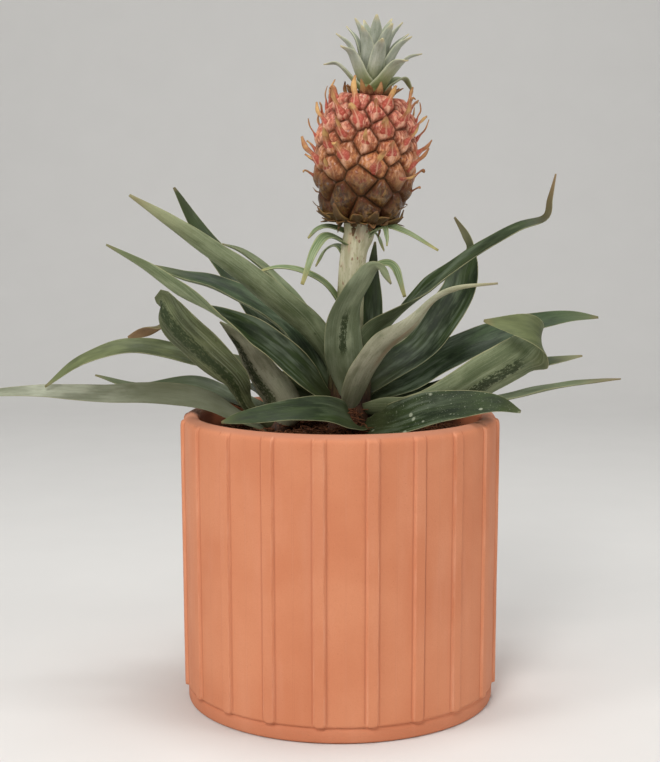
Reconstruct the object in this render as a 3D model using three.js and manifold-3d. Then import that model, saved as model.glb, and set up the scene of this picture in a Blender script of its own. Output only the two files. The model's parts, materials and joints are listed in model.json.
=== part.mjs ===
// Potted pineapple plant
// A dwarf pineapple in fruit, in a ribbed terracotta pot filled with coir potting mix.
// Millimetres, +Z up. The origin is the middle of the pot's flat underside, and -Y is the front.

import * as THREE from 'three';
import { ConvexGeometry } from 'three/addons/geometries/ConvexGeometry.js';
import { mergeVertices } from 'three/addons/utils/BufferGeometryUtils.js';
import Module from 'manifold-3d';

const wasm = await Module();
wasm.setup();

const { degToRad, lerp, smoothstep, clamp } = THREE.MathUtils;
const up = new THREE.Vector3(0, 0, 1);
const front = new THREE.Vector3(0, -1, 0);

// Clearance between pieces that touch
const gap = 0.3;

// Pot
const potHeight = 126;
const potTopRadius = 68.8;
const potBottomRadius = 68.1;
const footRadius = 67.6;
const footHeight = 5.2;
const grooveRadius = 66.9;
const grooveLevel = footHeight + 0.9;
const ribsBottom = footHeight + 1.8;
const ribsTop = potHeight - 1.1;
const ribEndLength = 1.3;
const shoulderLevel = potHeight - 7;
const ribPitch = 18;
const ribRise = 1.2;
const firstRibAngle = -7;
const ribTopHalfAngle = 1.6;
const ribFootHalfAngle = 2.4;
// How far each rib is out of its even place, as they were set by hand
const ribOffsets = [0, 0, -1.2, -2.6, -2, -1, 0, 0.6, -0.5, 0.8, 0, -0.7, 0.5, 0, 0.6, 0, 0, 0, 0, 0];
const innerTopRadius = 61.9;
const innerBottomRadius = 60.4;
const floorHeight = 9;
const floorBevel = 4;

// Potting mix
const soilLevel = 116;
const soilRelief = 0.9;
const soilClearance = 0.4;
const soilRings = 5;
const coirLump = { centre: new THREE.Vector3(4.5, -12.5, 118), size: new THREE.Vector3(4.5, 4, 8.5) };

// Main stem, its stalk and the fruit on top
const stemRadius = 9.5;
const stalkRadius = 5.8;
const stalkTopRadius = 7;
const stemFootLevel = 90;
const stemShoulderLevel = 138;
const stalkFootLevel = 156;
const stalkNeckLevel = 195;
const stalkTop = new THREE.Vector3(8.5, 0, 208.2);
const fruitLean = degToRad(5.1);
const fruitHeight = 54.5;
const fruitRadius = 19.8;
const fruitWidestAt = 0.56;
const fruitSeatRadius = 8;
const fruitletCount = 64;
const lowestFruitlet = 0.05;
const highestFruitlet = 0.96;
const fruitletRise = 1.7;
const grooveDepth = 0.8;
const fruitBractWidth = 4;
const skirtBractCount = 11;
const crownSeatRadius = 6.6;
const crownHeight = 33.5;
const crownSpread = 22;
const crownTopSpread = 8;
const crownLeafCount = 22;
const goldenAngle = Math.PI * (3 - Math.sqrt(5));

// Side shoot
const shootFoot = new THREE.Vector3(-27, -2, 96);
const shootTopLevel = 125;
const shootRadius = 4.6;

// Leaves
const bladeEdge = 0.7;
const bladeMiddle = 1.4;
const minBladeStations = 8;
const stationsPerGuide = 1.4;

const finish = {
  terracotta: new THREE.MeshStandardMaterial({ color: '#d78c69', roughness: 0.85, metalness: 0 }),
  coir: new THREE.MeshStandardMaterial({ color: '#46281e', roughness: 1, metalness: 0 }),
  stalk: new THREE.MeshStandardMaterial({ color: '#b4b496', roughness: 0.7, metalness: 0 }),
  leaf: new THREE.MeshStandardMaterial({ color: '#4f6b4f', roughness: 0.5, metalness: 0 }),
  fruit: new THREE.MeshStandardMaterial({ color: '#a8604a', roughness: 0.5, metalness: 0 }),
  crown: new THREE.MeshStandardMaterial({ color: '#96a596', roughness: 0.6, metalness: 0 }),
};

// Solids

function solidOf(geometry) {
  const bare = geometry.clone();
  bare.deleteAttribute('normal');
  bare.deleteAttribute('uv');
  const merged = mergeVertices(bare, 1e-4);
  const corners = merged.index.array;
  const triangles = [];
  for (let i = 0; i < corners.length; i += 3) {
    const [a, b, c] = corners.slice(i, i + 3);
    if (a !== b && b !== c && c !== a) triangles.push(a, b, c);
  }
  return new wasm.Manifold(new wasm.Mesh({
    numProp: 3,
    vertProperties: new Float32Array(merged.attributes.position.array),
    triVerts: new Uint32Array(triangles),
  }));
}

function geometryOf(solid) {
  const mesh = solid.getMesh();
  const geometry = new THREE.BufferGeometry();
  geometry.setAttribute('position', new THREE.BufferAttribute(mesh.vertProperties, 3));
  geometry.setIndex(new THREE.BufferAttribute(mesh.triVerts, 1));
  geometry.computeVertexNormals();
  return geometry;
}

function largestBody(solid) {
  return solid.decompose().reduce((best, body) => (body.volume() > best.volume() ? body : best));
}

function joined(solids) {
  return largestBody(solids.reduce((whole, solid) => whole.add(solid)));
}

// Rings of points joined into a closed skin. Quads on the two halves of a ring are split alike.
function loft(rings, cap) {
  const size = rings[0].length;
  const index = [];
  for (let i = 0; i < rings.length - 1; i += 1) {
    for (let k = 0; k < size; k += 1) {
      const a = i * size + k;
      const b = i * size + ((k + 1) % size);
      const c = a + size;
      const d = b + size;
      if (k < size / 2) index.push(a, b, d, a, d, c);
      else index.push(a, b, c, b, d, c);
    }
  }
  const last = (rings.length - 1) * size;
  for (const [a, b, c] of cap) {
    index.push(a, c, b, last + a, last + b, last + c);
  }
  const geometry = new THREE.BufferGeometry();
  geometry.setAttribute('position', new THREE.Float32BufferAttribute(
    rings.flat().flatMap((point) => point.toArray()), 3));
  geometry.setIndex(index);
  return solidOf(geometry);
}

function lathe(profile, segments) {
  const points = profile.map(([radius, height]) => new THREE.Vector2(radius, height));
  return new THREE.LatheGeometry(points, segments).rotateX(Math.PI / 2);
}

// A round rod along a curve, with radiusAt giving its radius from 0 to 1 along the way
function rod(curve, radiusAt, steps, sides) {
  const side = new THREE.Vector3();
  const across = new THREE.Vector3();
  const rings = [];
  for (let i = 0; i <= steps; i += 1) {
    const centre = curve.getPoint(i / steps);
    const along = curve.getTangent(i / steps);
    across.set(0, 1, 0);
    side.crossVectors(across, along).normalize();
    across.crossVectors(along, side);
    const radius = radiusAt(i / steps, centre);
    const ring = [];
    for (let k = 0; k < sides; k += 1) {
      const angle = (k / sides) * 2 * Math.PI;
      ring.push(centre.clone()
        .addScaledVector(side, radius * Math.cos(angle))
        .addScaledVector(across, radius * Math.sin(angle)));
    }
    rings.push(ring);
  }
  const cap = [];
  for (let k = 1; k < sides - 1; k += 1) cap.push([0, k, k + 1]);
  return loft(rings, cap);
}

// Blades: a thin gutter-shaped strip along a curve, for leaves, bracts and crown leaves

function directionAt(directions, t) {
  const place = clamp(t, 0, 1) * (directions.length - 1);
  const before = Math.min(Math.floor(place), directions.length - 2);
  return directions[before].clone().lerp(directions[before + 1], place - before);
}

// blade.points run from base to tip, and blade.faces are the ways that its upper side looks
function bladeSolid(blade, grow = 0) {
  const curve = new THREE.CatmullRomCurve3(blade.points, false, 'catmullrom', 0.5);
  const across = blade.across ?? 5;
  const { stations } = blade;
  const rings = [];
  for (let i = 0; i < stations; i += 1) {
    const t = i / (stations - 1);
    const centre = curve.getPoint(t);
    const along = curve.getTangent(t);
    const lift = directionAt(blade.faces, t).projectOnPlane(along).normalize();
    const side = new THREE.Vector3().crossVectors(along, lift);
    const width = blade.width * blade.widthAt(t) / 2 + grow;
    const bend = degToRad(lerp(blade.fold[0], blade.fold[1], t));
    const upper = [];
    const lower = [];
    for (let j = 0; j < across; j += 1) {
      const u = (j / (across - 1)) * 2 - 1;
      const turn = bend * u;
      const point = centre.clone()
        .addScaledVector(side, width * Math.sin(turn) / bend)
        .addScaledVector(lift, width * (1 - Math.cos(turn)) / bend);
      const normal = lift.clone().multiplyScalar(Math.cos(turn)).addScaledVector(side, -Math.sin(turn));
      const half = lerp(blade.middle ?? bladeMiddle, bladeEdge, u * u) / 2 + grow;
      upper.push(point.clone().addScaledVector(normal, half));
      lower.unshift(point.clone().addScaledVector(normal, -half));
    }
    rings.push([...upper, ...lower]);
  }
  const cap = [];
  for (let j = 0; j < across - 1; j += 1) {
    cap.push([j, j + 1, 2 * across - 2 - j], [j, 2 * across - 2 - j, 2 * across - 1 - j]);
  }
  return loft(rings, cap);
}

// Broad soon after the base, then tapering to a fine tip
function leafWidth(t, taper) {
  return (0.45 + 0.55 * smoothstep(t, 0, 0.3)) * (1 - 0.93 * t ** taper);
}

// Shares of the width, evenly spread from base to tip
function unevenWidth(widths) {
  const curve = new THREE.SplineCurve(widths.map((width, i) => new THREE.Vector2(i, width)));
  return (t) => curve.getPoint(t).y;
}

function crownLeafWidth(t) {
  return (0.8 + 0.2 * smoothstep(t, 0, 0.3)) * (1 - 0.88 * t ** 2);
}

function bractWidth(t) {
  return 1 - 0.8 * t;
}

// Pot

function ribHeight(angle, height) {
  const foot = smoothstep(height, grooveLevel, ribsBottom);
  const top = 1 - smoothstep(height, ribsTop - ribEndLength, ribsTop);
  const offset = Math.abs(angle);
  const side = 1 - clamp((offset - ribTopHalfAngle) / (ribFootHalfAngle - ribTopHalfAngle), 0, 1);
  return ribRise * foot * top * side;
}

// The profile runs from the middle of the underside up the outside, over the rim and down to the floor
function makePot() {
  const profile = [
    [0, 0],
    [footRadius, 0],
    [footRadius, footHeight],
    [grooveRadius, grooveLevel],
    [potBottomRadius, ribsBottom],
    [potTopRadius, shoulderLevel],
    [potTopRadius - 0.1, shoulderLevel + 3],
    [potTopRadius - 0.45, ribsTop - ribEndLength],
    [potTopRadius - 1, ribsTop],
    [potTopRadius - 2.4, potHeight],
    [innerTopRadius + 1.6, potHeight - 0.4],
    [innerTopRadius, potHeight - 3.4],
    [innerBottomRadius, floorHeight + floorBevel],
    [innerBottomRadius - floorBevel, floorHeight],
    [0, floorHeight],
  ];
  const outerRows = 9;
  const cell = [-ribFootHalfAngle, -ribTopHalfAngle, ribTopHalfAngle, ribFootHalfAngle, ribPitch / 2];
  const segments = ribOffsets.length * cell.length;
  const geometry = lathe(profile, segments);
  const position = geometry.attributes.position;
  for (let i = 0; i <= segments; i += 1) {
    const column = i % segments;
    const offset = cell[column % cell.length];
    const rib = Math.floor(column / cell.length);
    const turn = degToRad(firstRibAngle + rib * ribPitch + ribOffsets[rib] + offset);
    for (let row = 0; row < profile.length; row += 1) {
      const [radius, height] = profile[row];
      const reach = radius + (row < outerRows ? ribHeight(offset, height) : 0);
      position.setXYZ(i * profile.length + row, reach * Math.sin(turn), -reach * Math.cos(turn), height);
    }
  }
  return solidOf(geometry);
}

// Stems

const stemCurve = new THREE.CatmullRomCurve3([
  new THREE.Vector3(4, 0, stemFootLevel),
  new THREE.Vector3(4, 0, 126),
  new THREE.Vector3(4.2, 0, 160),
  new THREE.Vector3(5, 0, 186),
  new THREE.Vector3(6.3, 0, 198),
  new THREE.Vector3(8.1, 0, 204.2),
  stalkTop,
], false, 'catmullrom', 0.5);

function stemSolid(grow = 0) {
  const radiusAt = (t, centre) => {
    const narrowed = smoothstep(centre.z, stemShoulderLevel, stalkFootLevel);
    const neck = smoothstep(centre.z, stalkNeckLevel, stalkTop.z);
    return lerp(stemRadius, stalkRadius, narrowed) + (stalkTopRadius - stalkRadius) * neck + grow;
  };
  return rod(stemCurve, radiusAt, 12, 14);
}

function shootSolid(grow = 0) {
  const curve = new THREE.LineCurve3(
    shootFoot, new THREE.Vector3(shootFoot.x, shootFoot.y, shootTopLevel));
  return rod(curve, (t) => shootRadius * (1 - 0.35 * smoothstep(t, 0.8, 1)) + grow, 5, 10);
}

// Thin leaves low on the stalk and just under the fruit, each with its root sunk into the stalk
const stalkBracts = [
  { points: [[5, 0, 198], [-5, -8, 203], [-11, -14, 197], [-16, -20, 183]], width: 8 },
  { points: [[2, 0, 170], [-6, -5, 182], [-16, -9, 188], [-26, -11, 190], [-35, -11, 188]], width: 8 },
  { points: [[7, 0, 203], [-4, 3, 207], [-10, 4, 206], [-14, 4, 202]], width: 5 },
  { points: [[8, 0, 198], [18, -4, 207], [28, -8, 205], [42, -10, 197]], width: 7 },
  { points: [[7, 0, 201], [18, -8, 207], [20, -11, 203], [20, -12, 199]], width: 4 },
  { points: [[8, 0, 184], [18, -5, 191], [24, -7, 189], [28, -7, 177]], width: 8 },
  { points: [[7, 0, 196], [10, 10, 205], [16, 20, 204], [20, 28, 196]], width: 6 },
  { points: [[6, 0, 188], [0, 10, 198], [-6, 20, 197], [-11, 28, 189]], width: 6 },
];

function makeMainStem() {
  const bracts = stalkBracts.map(({ points, width }) => {
    const path = points.map((point) => new THREE.Vector3(...point));
    const outward = path.at(-1).clone().sub(path[0]).setZ(0).normalize();
    const inward = up.clone().addScaledVector(outward, -0.5).addScaledVector(front, 0.6);
    return bladeSolid({
      points: path,
      faces: [inward, inward],
      fold: [35, 20],
      width,
      widthAt: bractWidth,
      middle: 1,
      across: 3,
      stations: 6,
    });
  });
  return joined([stemSolid(), ...bracts]);
}

// Fruit: a barrel of fruitlets on a golden-angle lattice, built upright on its own axis

// Radius of the fruit at a share of its height
function fruitProfile(level) {
  const reach = level < fruitWidestAt ? 0.68 : 0.52;
  const away = Math.abs(level - fruitWidestAt) / reach;
  return fruitRadius * Math.sqrt(clamp(1 - away ** 2.5, 0, 1));
}

// The fruitlets are large and widely spaced low down, and small and close at the top
function fruitletPlaces() {
  const places = [];
  for (let i = 0; i < fruitletCount; i += 1) {
    const t = (i + 0.5) / fruitletCount;
    const level = lerp(lowestFruitlet, highestFruitlet, t * (1.4 - 0.4 * t));
    const angle = i * goldenAngle;
    const radial = new THREE.Vector3(Math.cos(angle), Math.sin(angle), 0);
    const slope = (fruitProfile(level + 0.02) - fruitProfile(level - 0.02)) / (0.04 * fruitHeight);
    const outward = radial.clone().addScaledVector(up, -slope).normalize();
    const point = radial.clone().multiplyScalar(fruitProfile(level)).setZ(level * fruitHeight);
    places.push({ level, outward, point });
  }
  return places;
}

// One closed skin over the lattice: each cell rises to a low dome and falls to a groove at its corners
function fruitSkin(places) {
  const ends = [1.5, fruitHeight - 1.5].map((height) => new THREE.Vector3(0, 0, height));
  const hull = new ConvexGeometry([...places.map(({ point }) => point), ...ends]);
  hull.deleteAttribute('normal');
  const { index, attributes } = mergeVertices(hull, 1e-4);
  const centres = [];
  for (let i = 0; i < attributes.position.count; i += 1) {
    const point = new THREE.Vector3().fromBufferAttribute(attributes.position, i);
    const place = places.find((item) => item.point.distanceTo(point) < 0.01);
    centres.push({ point, outward: place?.outward ?? new THREE.Vector3(), rise: place ? fruitletRise : 0 });
  }
  const faces = [];
  const faceOnEdge = new Map();
  for (let i = 0; i < index.count; i += 3) {
    const face = [index.getX(i), index.getX(i + 1), index.getX(i + 2)];
    face.forEach((from, k) => faceOnEdge.set(`${from}>${face[(k + 1) % 3]}`, faces.length));
    faces.push(face);
  }
  const points = centres.map(({ point, outward, rise }) => point.clone().addScaledVector(outward, rise));
  const middles = faces.map((face) => {
    const middle = new THREE.Vector3();
    face.forEach((corner) => middle.addScaledVector(centres[corner].point, 1 / 3));
    return middle;
  });
  const corners = middles.map((middle, i) => {
    const inward = new THREE.Vector3();
    faces[i].forEach((corner) => inward.sub(centres[corner].outward));
    points.push(middle.clone().addScaledVector(inward, grooveDepth / 3));
    return points.length - 1;
  });
  const shoulders = new Map();
  faces.forEach((face, i) => face.forEach((corner) => {
    const { point, outward, rise } = centres[corner];
    points.push(point.clone().lerp(middles[i], 0.64).addScaledVector(outward, rise));
    shoulders.set(`${corner}/${i}`, points.length - 1);
  }));
  const triangles = [];
  faces.forEach((face, left) => face.forEach((from, k) => {
    const right = faceOnEdge.get(`${face[(k + 1) % 3]}>${from}`);
    const near = shoulders.get(`${from}/${right}`);
    const far = shoulders.get(`${from}/${left}`);
    triangles.push(from, near, far);
    triangles.push(near, corners[right], corners[left]);
    triangles.push(near, corners[left], far);
  }));
  const skin = new THREE.BufferGeometry();
  skin.setAttribute('position', new THREE.Float32BufferAttribute(
    points.flatMap((point) => point.toArray()), 3));
  skin.setIndex(triangles);
  return solidOf(skin);
}

// A dried bract: a small pointed strip that leaves the fruitlet and bends upward
function bractSolid(place, outward, length, lift = 1) {
  const rise = up.clone().projectOnPlane(outward).normalize();
  const step = (out, along) => place.clone()
    .addScaledVector(outward, out)
    .addScaledVector(rise, along * lift);
  return bladeSolid({
    points: [step(0, -1.2), step(length * 0.5, length * 0.1), step(length * 0.85, length * 0.6)],
    faces: [rise, rise.clone().addScaledVector(outward, -0.8)],
    fold: [30, 30],
    width: fruitBractWidth,
    widthAt: bractWidth,
    middle: 1.1,
    across: 2,
    stations: 3,
  });
}

function makeFruit() {
  const places = fruitletPlaces();
  const solids = [
    fruitSkin(places),
    solidOf(lathe([[0, 0], [fruitSeatRadius, 0], [fruitSeatRadius + 2, 5], [0, 5]], 14)),
    solidOf(lathe([[0, fruitHeight - 6], [crownSeatRadius + 3, fruitHeight - 6],
      [crownSeatRadius, fruitHeight], [0, fruitHeight]], 12)),
  ];
  for (const { level, outward, point } of places) {
    solids.push(bractSolid(point, outward, lerp(5, 9.5, smoothstep(level, 0.1, 0.65))));
  }
  for (let i = 0; i < skirtBractCount; i += 1) {
    const angle = (i / skirtBractCount) * 2 * Math.PI;
    const radial = new THREE.Vector3(Math.cos(angle), Math.sin(angle), 0);
    const place = radial.clone().multiplyScalar(fruitSeatRadius + 1).setZ(3.2);
    solids.push(bractSolid(place, radial, 8, -0.35));
  }
  return joined(solids);
}

// Crown: a tuft of small leaves round a short core, the outer ones bent over
function makeCrown() {
  const solids = [solidOf(lathe([[0, 0], [crownSeatRadius - 1.2, 0], [crownSeatRadius - 1, 4],
    [4.6, 10], [2.4, 17], [0, 18]], 10))];
  for (let i = 0; i < crownLeafCount; i += 1) {
    const t = i / (crownLeafCount - 1);
    const angle = i * goldenAngle + 0.6;
    const radial = new THREE.Vector3(Math.cos(angle), Math.sin(angle), 0);
    const step = (radius, level) => radial.clone().multiplyScalar(radius).setZ(level);
    solids.push(bladeSolid({
      points: [
        step(lerp(4.6, 1.4, t), lerp(0.7, 12, t)),
        step(lerp(8.8, 3.8, t), lerp(5, 18, t)),
        step(lerp(16, 5.2, t ** 1.1), lerp(9, 27, t ** 0.6)),
        step(lerp(crownSpread, crownTopSpread, t ** 1.4), lerp(4, crownHeight, t ** 0.45)),
      ],
      faces: [radial.clone().multiplyScalar(-1).addScaledVector(up, 0.4),
        up.clone().addScaledVector(radial, -0.5)],
      fold: [45, 25],
      width: lerp(8.6, 8, t),
      widthAt: crownLeafWidth,
      middle: 1.1,
      across: 3,
      stations: 4,
    }));
  }
  return joined(solids);
}

// Leaves of the rosette and of the side shoot, from the middle of each outward.
// root is the level where the leaf leaves its stem, path its middle line from there to the tip,
// fold the gutter's half-angle at base and tip. Where a leaf is rolled, twisted or folded over, faces
// gives the ways that its upper side looks from base to tip, and otherwise it looks up and in to the
// stem. A higher taper keeps a leaf broad for longer, and widths gives the shares of the width from
// base to tip where a leaf narrows unevenly.
const mainLeaves = [
  { name: 'leaf_left_front_high', root: 138, width: 20, fold: [50, 35],
    faces: [[0.7, 0.3, 0.6], [0.35, 0.8, 0.4], [0.35, 0.8, 0.4]],
    path: [[-5, -3, 148], [-12, -9, 160], [-21, -16, 170], [-41, -31, 188], [-64, -44, 206],
           [-84, -49, 220]] },
  { name: 'leaf_back_upright', root: 139, width: 14, fold: [50, 40],
    path: [[12, 9, 146], [14, 14, 156], [15, 20, 170], [15, 26, 185], [16, 30, 200]] },
  { name: 'leaf_left_inner', root: 136, width: 15, fold: [50, 35],
    faces: [[0.6, -0.5, 0.6], [0.5, -0.2, 0.85], [0.5, -0.2, 0.85]],
    path: [[-3, 8, 140], [-11, 18, 158], [-26, 27, 179], [-43, 33, 194], [-54, 35, 199]] },
  { name: 'leaf_right_long', root: 136, width: 17, fold: [50, 25],
    widths: [0.5, 0.8, 1, 1, 0.75, 0.48, 0.42, 0.32, 0.2, 0.17, 0.05],
    faces: [[-0.6, 0.5, 0.5], [-0.5, 0.6, 0.6], [-0.4, -0.4, 0.7], [-0.4, -0.6, 0.6], [-0.3, -0.7, 0.6],
            [-0.9, -0.5, 0.1]],
    path: [[9, -8, 149], [16, -12, 161], [26, -17, 171], [38, -21, 182], [49, -24, 191], [60, -26, 199],
           [74, -28, 207], [85, -28, 211], [87, -28, 219], [89, -28, 229]] },
  { name: 'leaf_front_upright', root: 131, width: 19, fold: [45, 30],
    path: [[4, -12, 140], [2, -18, 154], [3, -23, 170], [9, -28, 183], [15, -32, 191], [21, -35, 184]] },
  { name: 'leaf_left_dark', root: 132, width: 21, fold: [50, 50],
    faces: [[0.6, -0.4, 0.7], [0.2, -0.45, 0.9], [0.1, -0.45, 0.9]],
    path: [[-8, 0, 140], [-15, 2, 152], [-24, 4, 163], [-37, 5, 172], [-55, 6, 181], [-70, 7, 185],
           [-83, 7, 190]] },
  { name: 'leaf_right_back_high', root: 132, width: 20, fold: [50, 35],
    widths: [0.5, 0.85, 1, 1, 0.95, 0.8, 0.25, 0.2, 0.06],
    faces: [[-0.6, -0.6, 0.6], [-0.4, -0.85, 0.4], [-0.7, -0.7, 0.1]],
    path: [[15, 8, 136], [25, 15, 143], [39, 23, 153], [54, 32, 174], [58, 38, 186], [61, 44, 196],
           [59, 49, 203], [54, 54, 211]] },
  { name: 'leaf_right_narrow', root: 128, width: 15, fold: [50, 30],
    widths: [0.5, 0.95, 1, 0.85, 0.3, 0.2, 0.08],
    faces: [[-0.5, 0.7, 0.5], [-0.4, 0.8, 0.5], [0, 0.6, 0.8]],
    path: [[7, -13, 135], [11, -20, 146], [19, -30, 158], [29, -38, 167], [38, -44, 178], [48, -48, 183],
           [63, -52, 185]] },
  { name: 'leaf_left_back_high', root: 130, width: 20, fold: [50, 35],
    faces: [[0.6, -0.5, 0.6], [0.4, -0.85, 0.4], [0.4, -0.85, 0.4]],
    path: [[-9, 10, 137], [-23, 21, 150], [-36, 32, 166], [-52, 46, 186], [-67, 56, 205], [-79, 62, 225]] },
  { name: 'leaf_left_twisted', root: 129, width: 17, fold: [45, 30],
    faces: [[0.6, -0.5, 0.6], [0.4, -0.8, 0.5], [0.3, -0.8, 0.6], [0.2, 0.7, 0.7], [0.2, 0.7, 0.7]],
    path: [[-10, -10, 137], [-17, -14, 145], [-26, -19, 154], [-37, -26, 163], [-52, -33, 172],
           [-66, -35, 181], [-80, -35, 191], [-96, -34, 200]] },
  { name: 'leaf_back_centre', root: 128, width: 15, fold: [50, 35],
    path: [[4, 16, 138], [4, 34, 150], [6, 60, 158], [8, 88, 156]] },
  { name: 'leaf_right_folded', root: 126, width: 25, fold: [45, 25],
    widths: [0.5, 0.7, 0.8, 0.9, 0.98, 0.94, 0.78, 0.7, 0.5, 0.05],
    faces: [[-0.5, 0.6, 0.6], [-0.3, 0.85, 0.45], [-0.3, 0.85, 0.45], [0.9, -0.2, 0.3], [0.1, -1, 0.3]],
    path: [[19, -8, 126], [31, -13, 126], [46, -19, 132], [62, -24, 143], [73, -27, 150], [80, -28, 155],
           [83, -32, 160], [76, -37, 166], [59, -38, 169]] },
  { name: 'leaf_back_left', root: 126, width: 15, fold: [50, 35],
    path: [[-5, 14, 133], [-19, 34, 145], [-34, 60, 154], [-49, 82, 157]] },
  { name: 'leaf_back_right', root: 126, width: 15, fold: [50, 35],
    path: [[12, 14, 132], [24, 36, 143], [38, 62, 146], [48, 84, 138]] },
  { name: 'leaf_right_back', root: 125, width: 18, fold: [50, 30], taper: 3,
    faces: [[-0.5, -0.6, 0.6], [-0.2, -0.85, 0.5], [-0.1, -0.7, 0.7]],
    path: [[17, 6, 132], [31, 15, 137], [49, 27, 147], [68, 37, 155], [84, 44, 160], [107, 50, 164],
           [122, 50, 164]] },
  { name: 'leaf_left_arched', root: 123, width: 16, fold: [50, 30],
    faces: [[0.6, -0.4, 0.7], [0.1, -0.55, 0.85], [0, -0.6, 0.8]],
    path: [[-10, 4, 130], [-40, 8, 142], [-67, 8, 149], [-92, 2, 154], [-112, -4, 149], [-128, -8, 138]] },
  { name: 'leaf_right_level', root: 122, width: 14, fold: [50, 30],
    faces: [[-0.5, -0.4, 0.7], [-0.1, -0.6, 0.8]],
    path: [[18, 2, 124], [40, 12, 132], [73, 22, 142], [94, 26, 145], [111, 28, 148]] },
  { name: 'leaf_back_low', root: 121, width: 14, fold: [50, 35],
    path: [[8, 14, 125], [14, 36, 132], [20, 62, 135], [26, 86, 131]] },
  { name: 'leaf_right_thin', root: 120, width: 7, fold: [45, 30],
    faces: [[-0.5, -0.2, 0.8], [0, -0.45, 0.9]],
    path: [[18, -4, 121], [48, -8, 128], [74, -11, 134], [95, -12, 139], [110, -12, 141],
           [121, -12, 142]] },
  { name: 'leaf_front_right_low', root: 120, width: 20.5, fold: [35, 20],
    faces: [[-0.5, -0.3, 0.8], [-0.1, -0.8, 0.6], [0, -0.75, 0.65]],
    path: [[14, -12, 121], [23, -20, 124], [36, -27, 130], [51, -32, 133], [65, -35, 134],
           [75, -36, 131]] },
  { name: 'leaf_front_left_low', root: 120, width: 16, fold: [35, 20],
    faces: [[0.2, -0.3, 0.9], [0.1, -0.8, 0.6], [0.1, -0.75, 0.65]],
    path: [[6, -14, 122], [3, -20, 126], [-5, -26, 130], [-20, -34, 131], [-39, -39, 129],
           [-49, -39, 127]] },
  { name: 'leaf_right_inner_low', root: 119, width: 10, fold: [40, 25],
    path: [[17, 6, 120], [30, 20, 122], [42, 28, 121], [52, 31, 120]] },
];

const shootLeaves = [
  { name: 'leaf_shoot_pointed', root: 121, width: 18, fold: [45, 30],
    widths: [0.7, 1, 1, 0.95, 0.8, 0.6, 0.36, 0.05],
    faces: [[0.2, 0.9, 0.3], [0.3, 0.9, 0.3], [0.5, 0.8, 0.3]],
    path: [[-25, -8, 127], [-27, -10, 134], [-32, -11, 141], [-37, -13, 149], [-41, -15, 156],
           [-46, -16, 162], [-51, -17, 167]] },
  { name: 'leaf_shoot_broad', root: 119, width: 20, fold: [40, 20],
    widths: [0.3, 0.35, 0.5, 0.85, 1, 1, 0.85, 0.6, 0.5, 0.45, 0.35, 0.05],
    faces: [[0.4, 0.85, 0.3], [0.4, 0.85, 0.3], [0.4, 0.85, 0.3], [0.4, 0.85, 0.3], [0.3, 0.1, -0.9],
            [0.2, -0.95, -0.25]],
    path: [[-40, -10, 129], [-43, -13, 135], [-47, -18, 143], [-59, -22, 155], [-68, -24, 164],
           [-73, -23, 171], [-75, -19, 175], [-73, -14, 170], [-77, -12, 165], [-83, -12, 163],
           [-91, -12, 160]] },
  { name: 'leaf_shoot_level', root: 120, width: 15, fold: [45, 30], taper: 2,
    faces: [[0.5, -0.3, 0.8], [0, -0.55, 0.85]],
    path: [[-32, 4, 123], [-49, 14, 130], [-68, 20, 136], [-91, 22, 134], [-111, 20, 140]] },
  { name: 'leaf_shoot_back', root: 119, width: 11, fold: [45, 30],
    path: [[-26, 9, 122], [-34, 26, 130], [-46, 48, 132], [-58, 66, 127]] },
  { name: 'leaf_shoot_low', root: 118, width: 12, fold: [45, 30], taper: 2.2,
    faces: [[0.3, -0.6, 0.7], [0.1, -0.9, 0.4], [0, -0.9, 0.4], [0, -0.95, 0.3]],
    path: [[-46, -1, 124], [-58, 1, 130], [-72, 2, 133], [-87, 1, 134], [-102, -2, 134], [-117, -4, 135],
           [-132, -6, 136], [-151, -6, 135], [-163, -6, 132]] },
];

// The leaf's own form: its first point lies just inside the stem, on the side it grows to
function leafBlade(leaf, stemCentre, radius) {
  const path = leaf.path.map((point) => new THREE.Vector3(...point));
  const outward = path[0].clone().sub(stemCentre).setZ(0).normalize();
  const root = stemCentre.clone().setZ(leaf.root).addScaledVector(outward, radius - 1.5);
  const reach = path.at(-1).clone().sub(stemCentre).setZ(0).normalize();
  const natural = up.clone().addScaledVector(reach, -0.6);
  return {
    points: [root, ...path],
    faces: leaf.faces?.map((face) => new THREE.Vector3(...face)) ?? [
      up.clone().addScaledVector(outward, -0.9), natural, natural],
    fold: leaf.fold,
    stations: Math.max(minBladeStations, Math.round(stationsPerGuide * leaf.path.length)),
    width: leaf.width,
    widthAt: leaf.widths ? unevenWidth(leaf.widths) : (t) => leafWidth(t, leaf.taper ?? 2.6),
  };
}

// Each leaf stops short of its stem and of the leaves nearer the middle of the plant
function makeLeaves() {
  const placed = [];
  const stems = [stemSolid(gap), shootSolid(gap)];
  const groups = [
    { leaves: mainLeaves, centre: new THREE.Vector3(4, 0, 0), radius: stemRadius },
    { leaves: shootLeaves, centre: shootFoot, radius: shootRadius },
  ];
  for (const { leaves, centre, radius } of groups) {
    for (const leaf of leaves) {
      const blade = leafBlade(leaf, centre, radius);
      let solid = bladeSolid(blade);
      for (const other of [...stems, ...placed.map((item) => item.grown)]) solid = solid.subtract(other);
      placed.push({ name: leaf.name, solid: largestBody(solid), grown: bladeSolid(blade, gap) });
    }
  }
  return placed;
}

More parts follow.
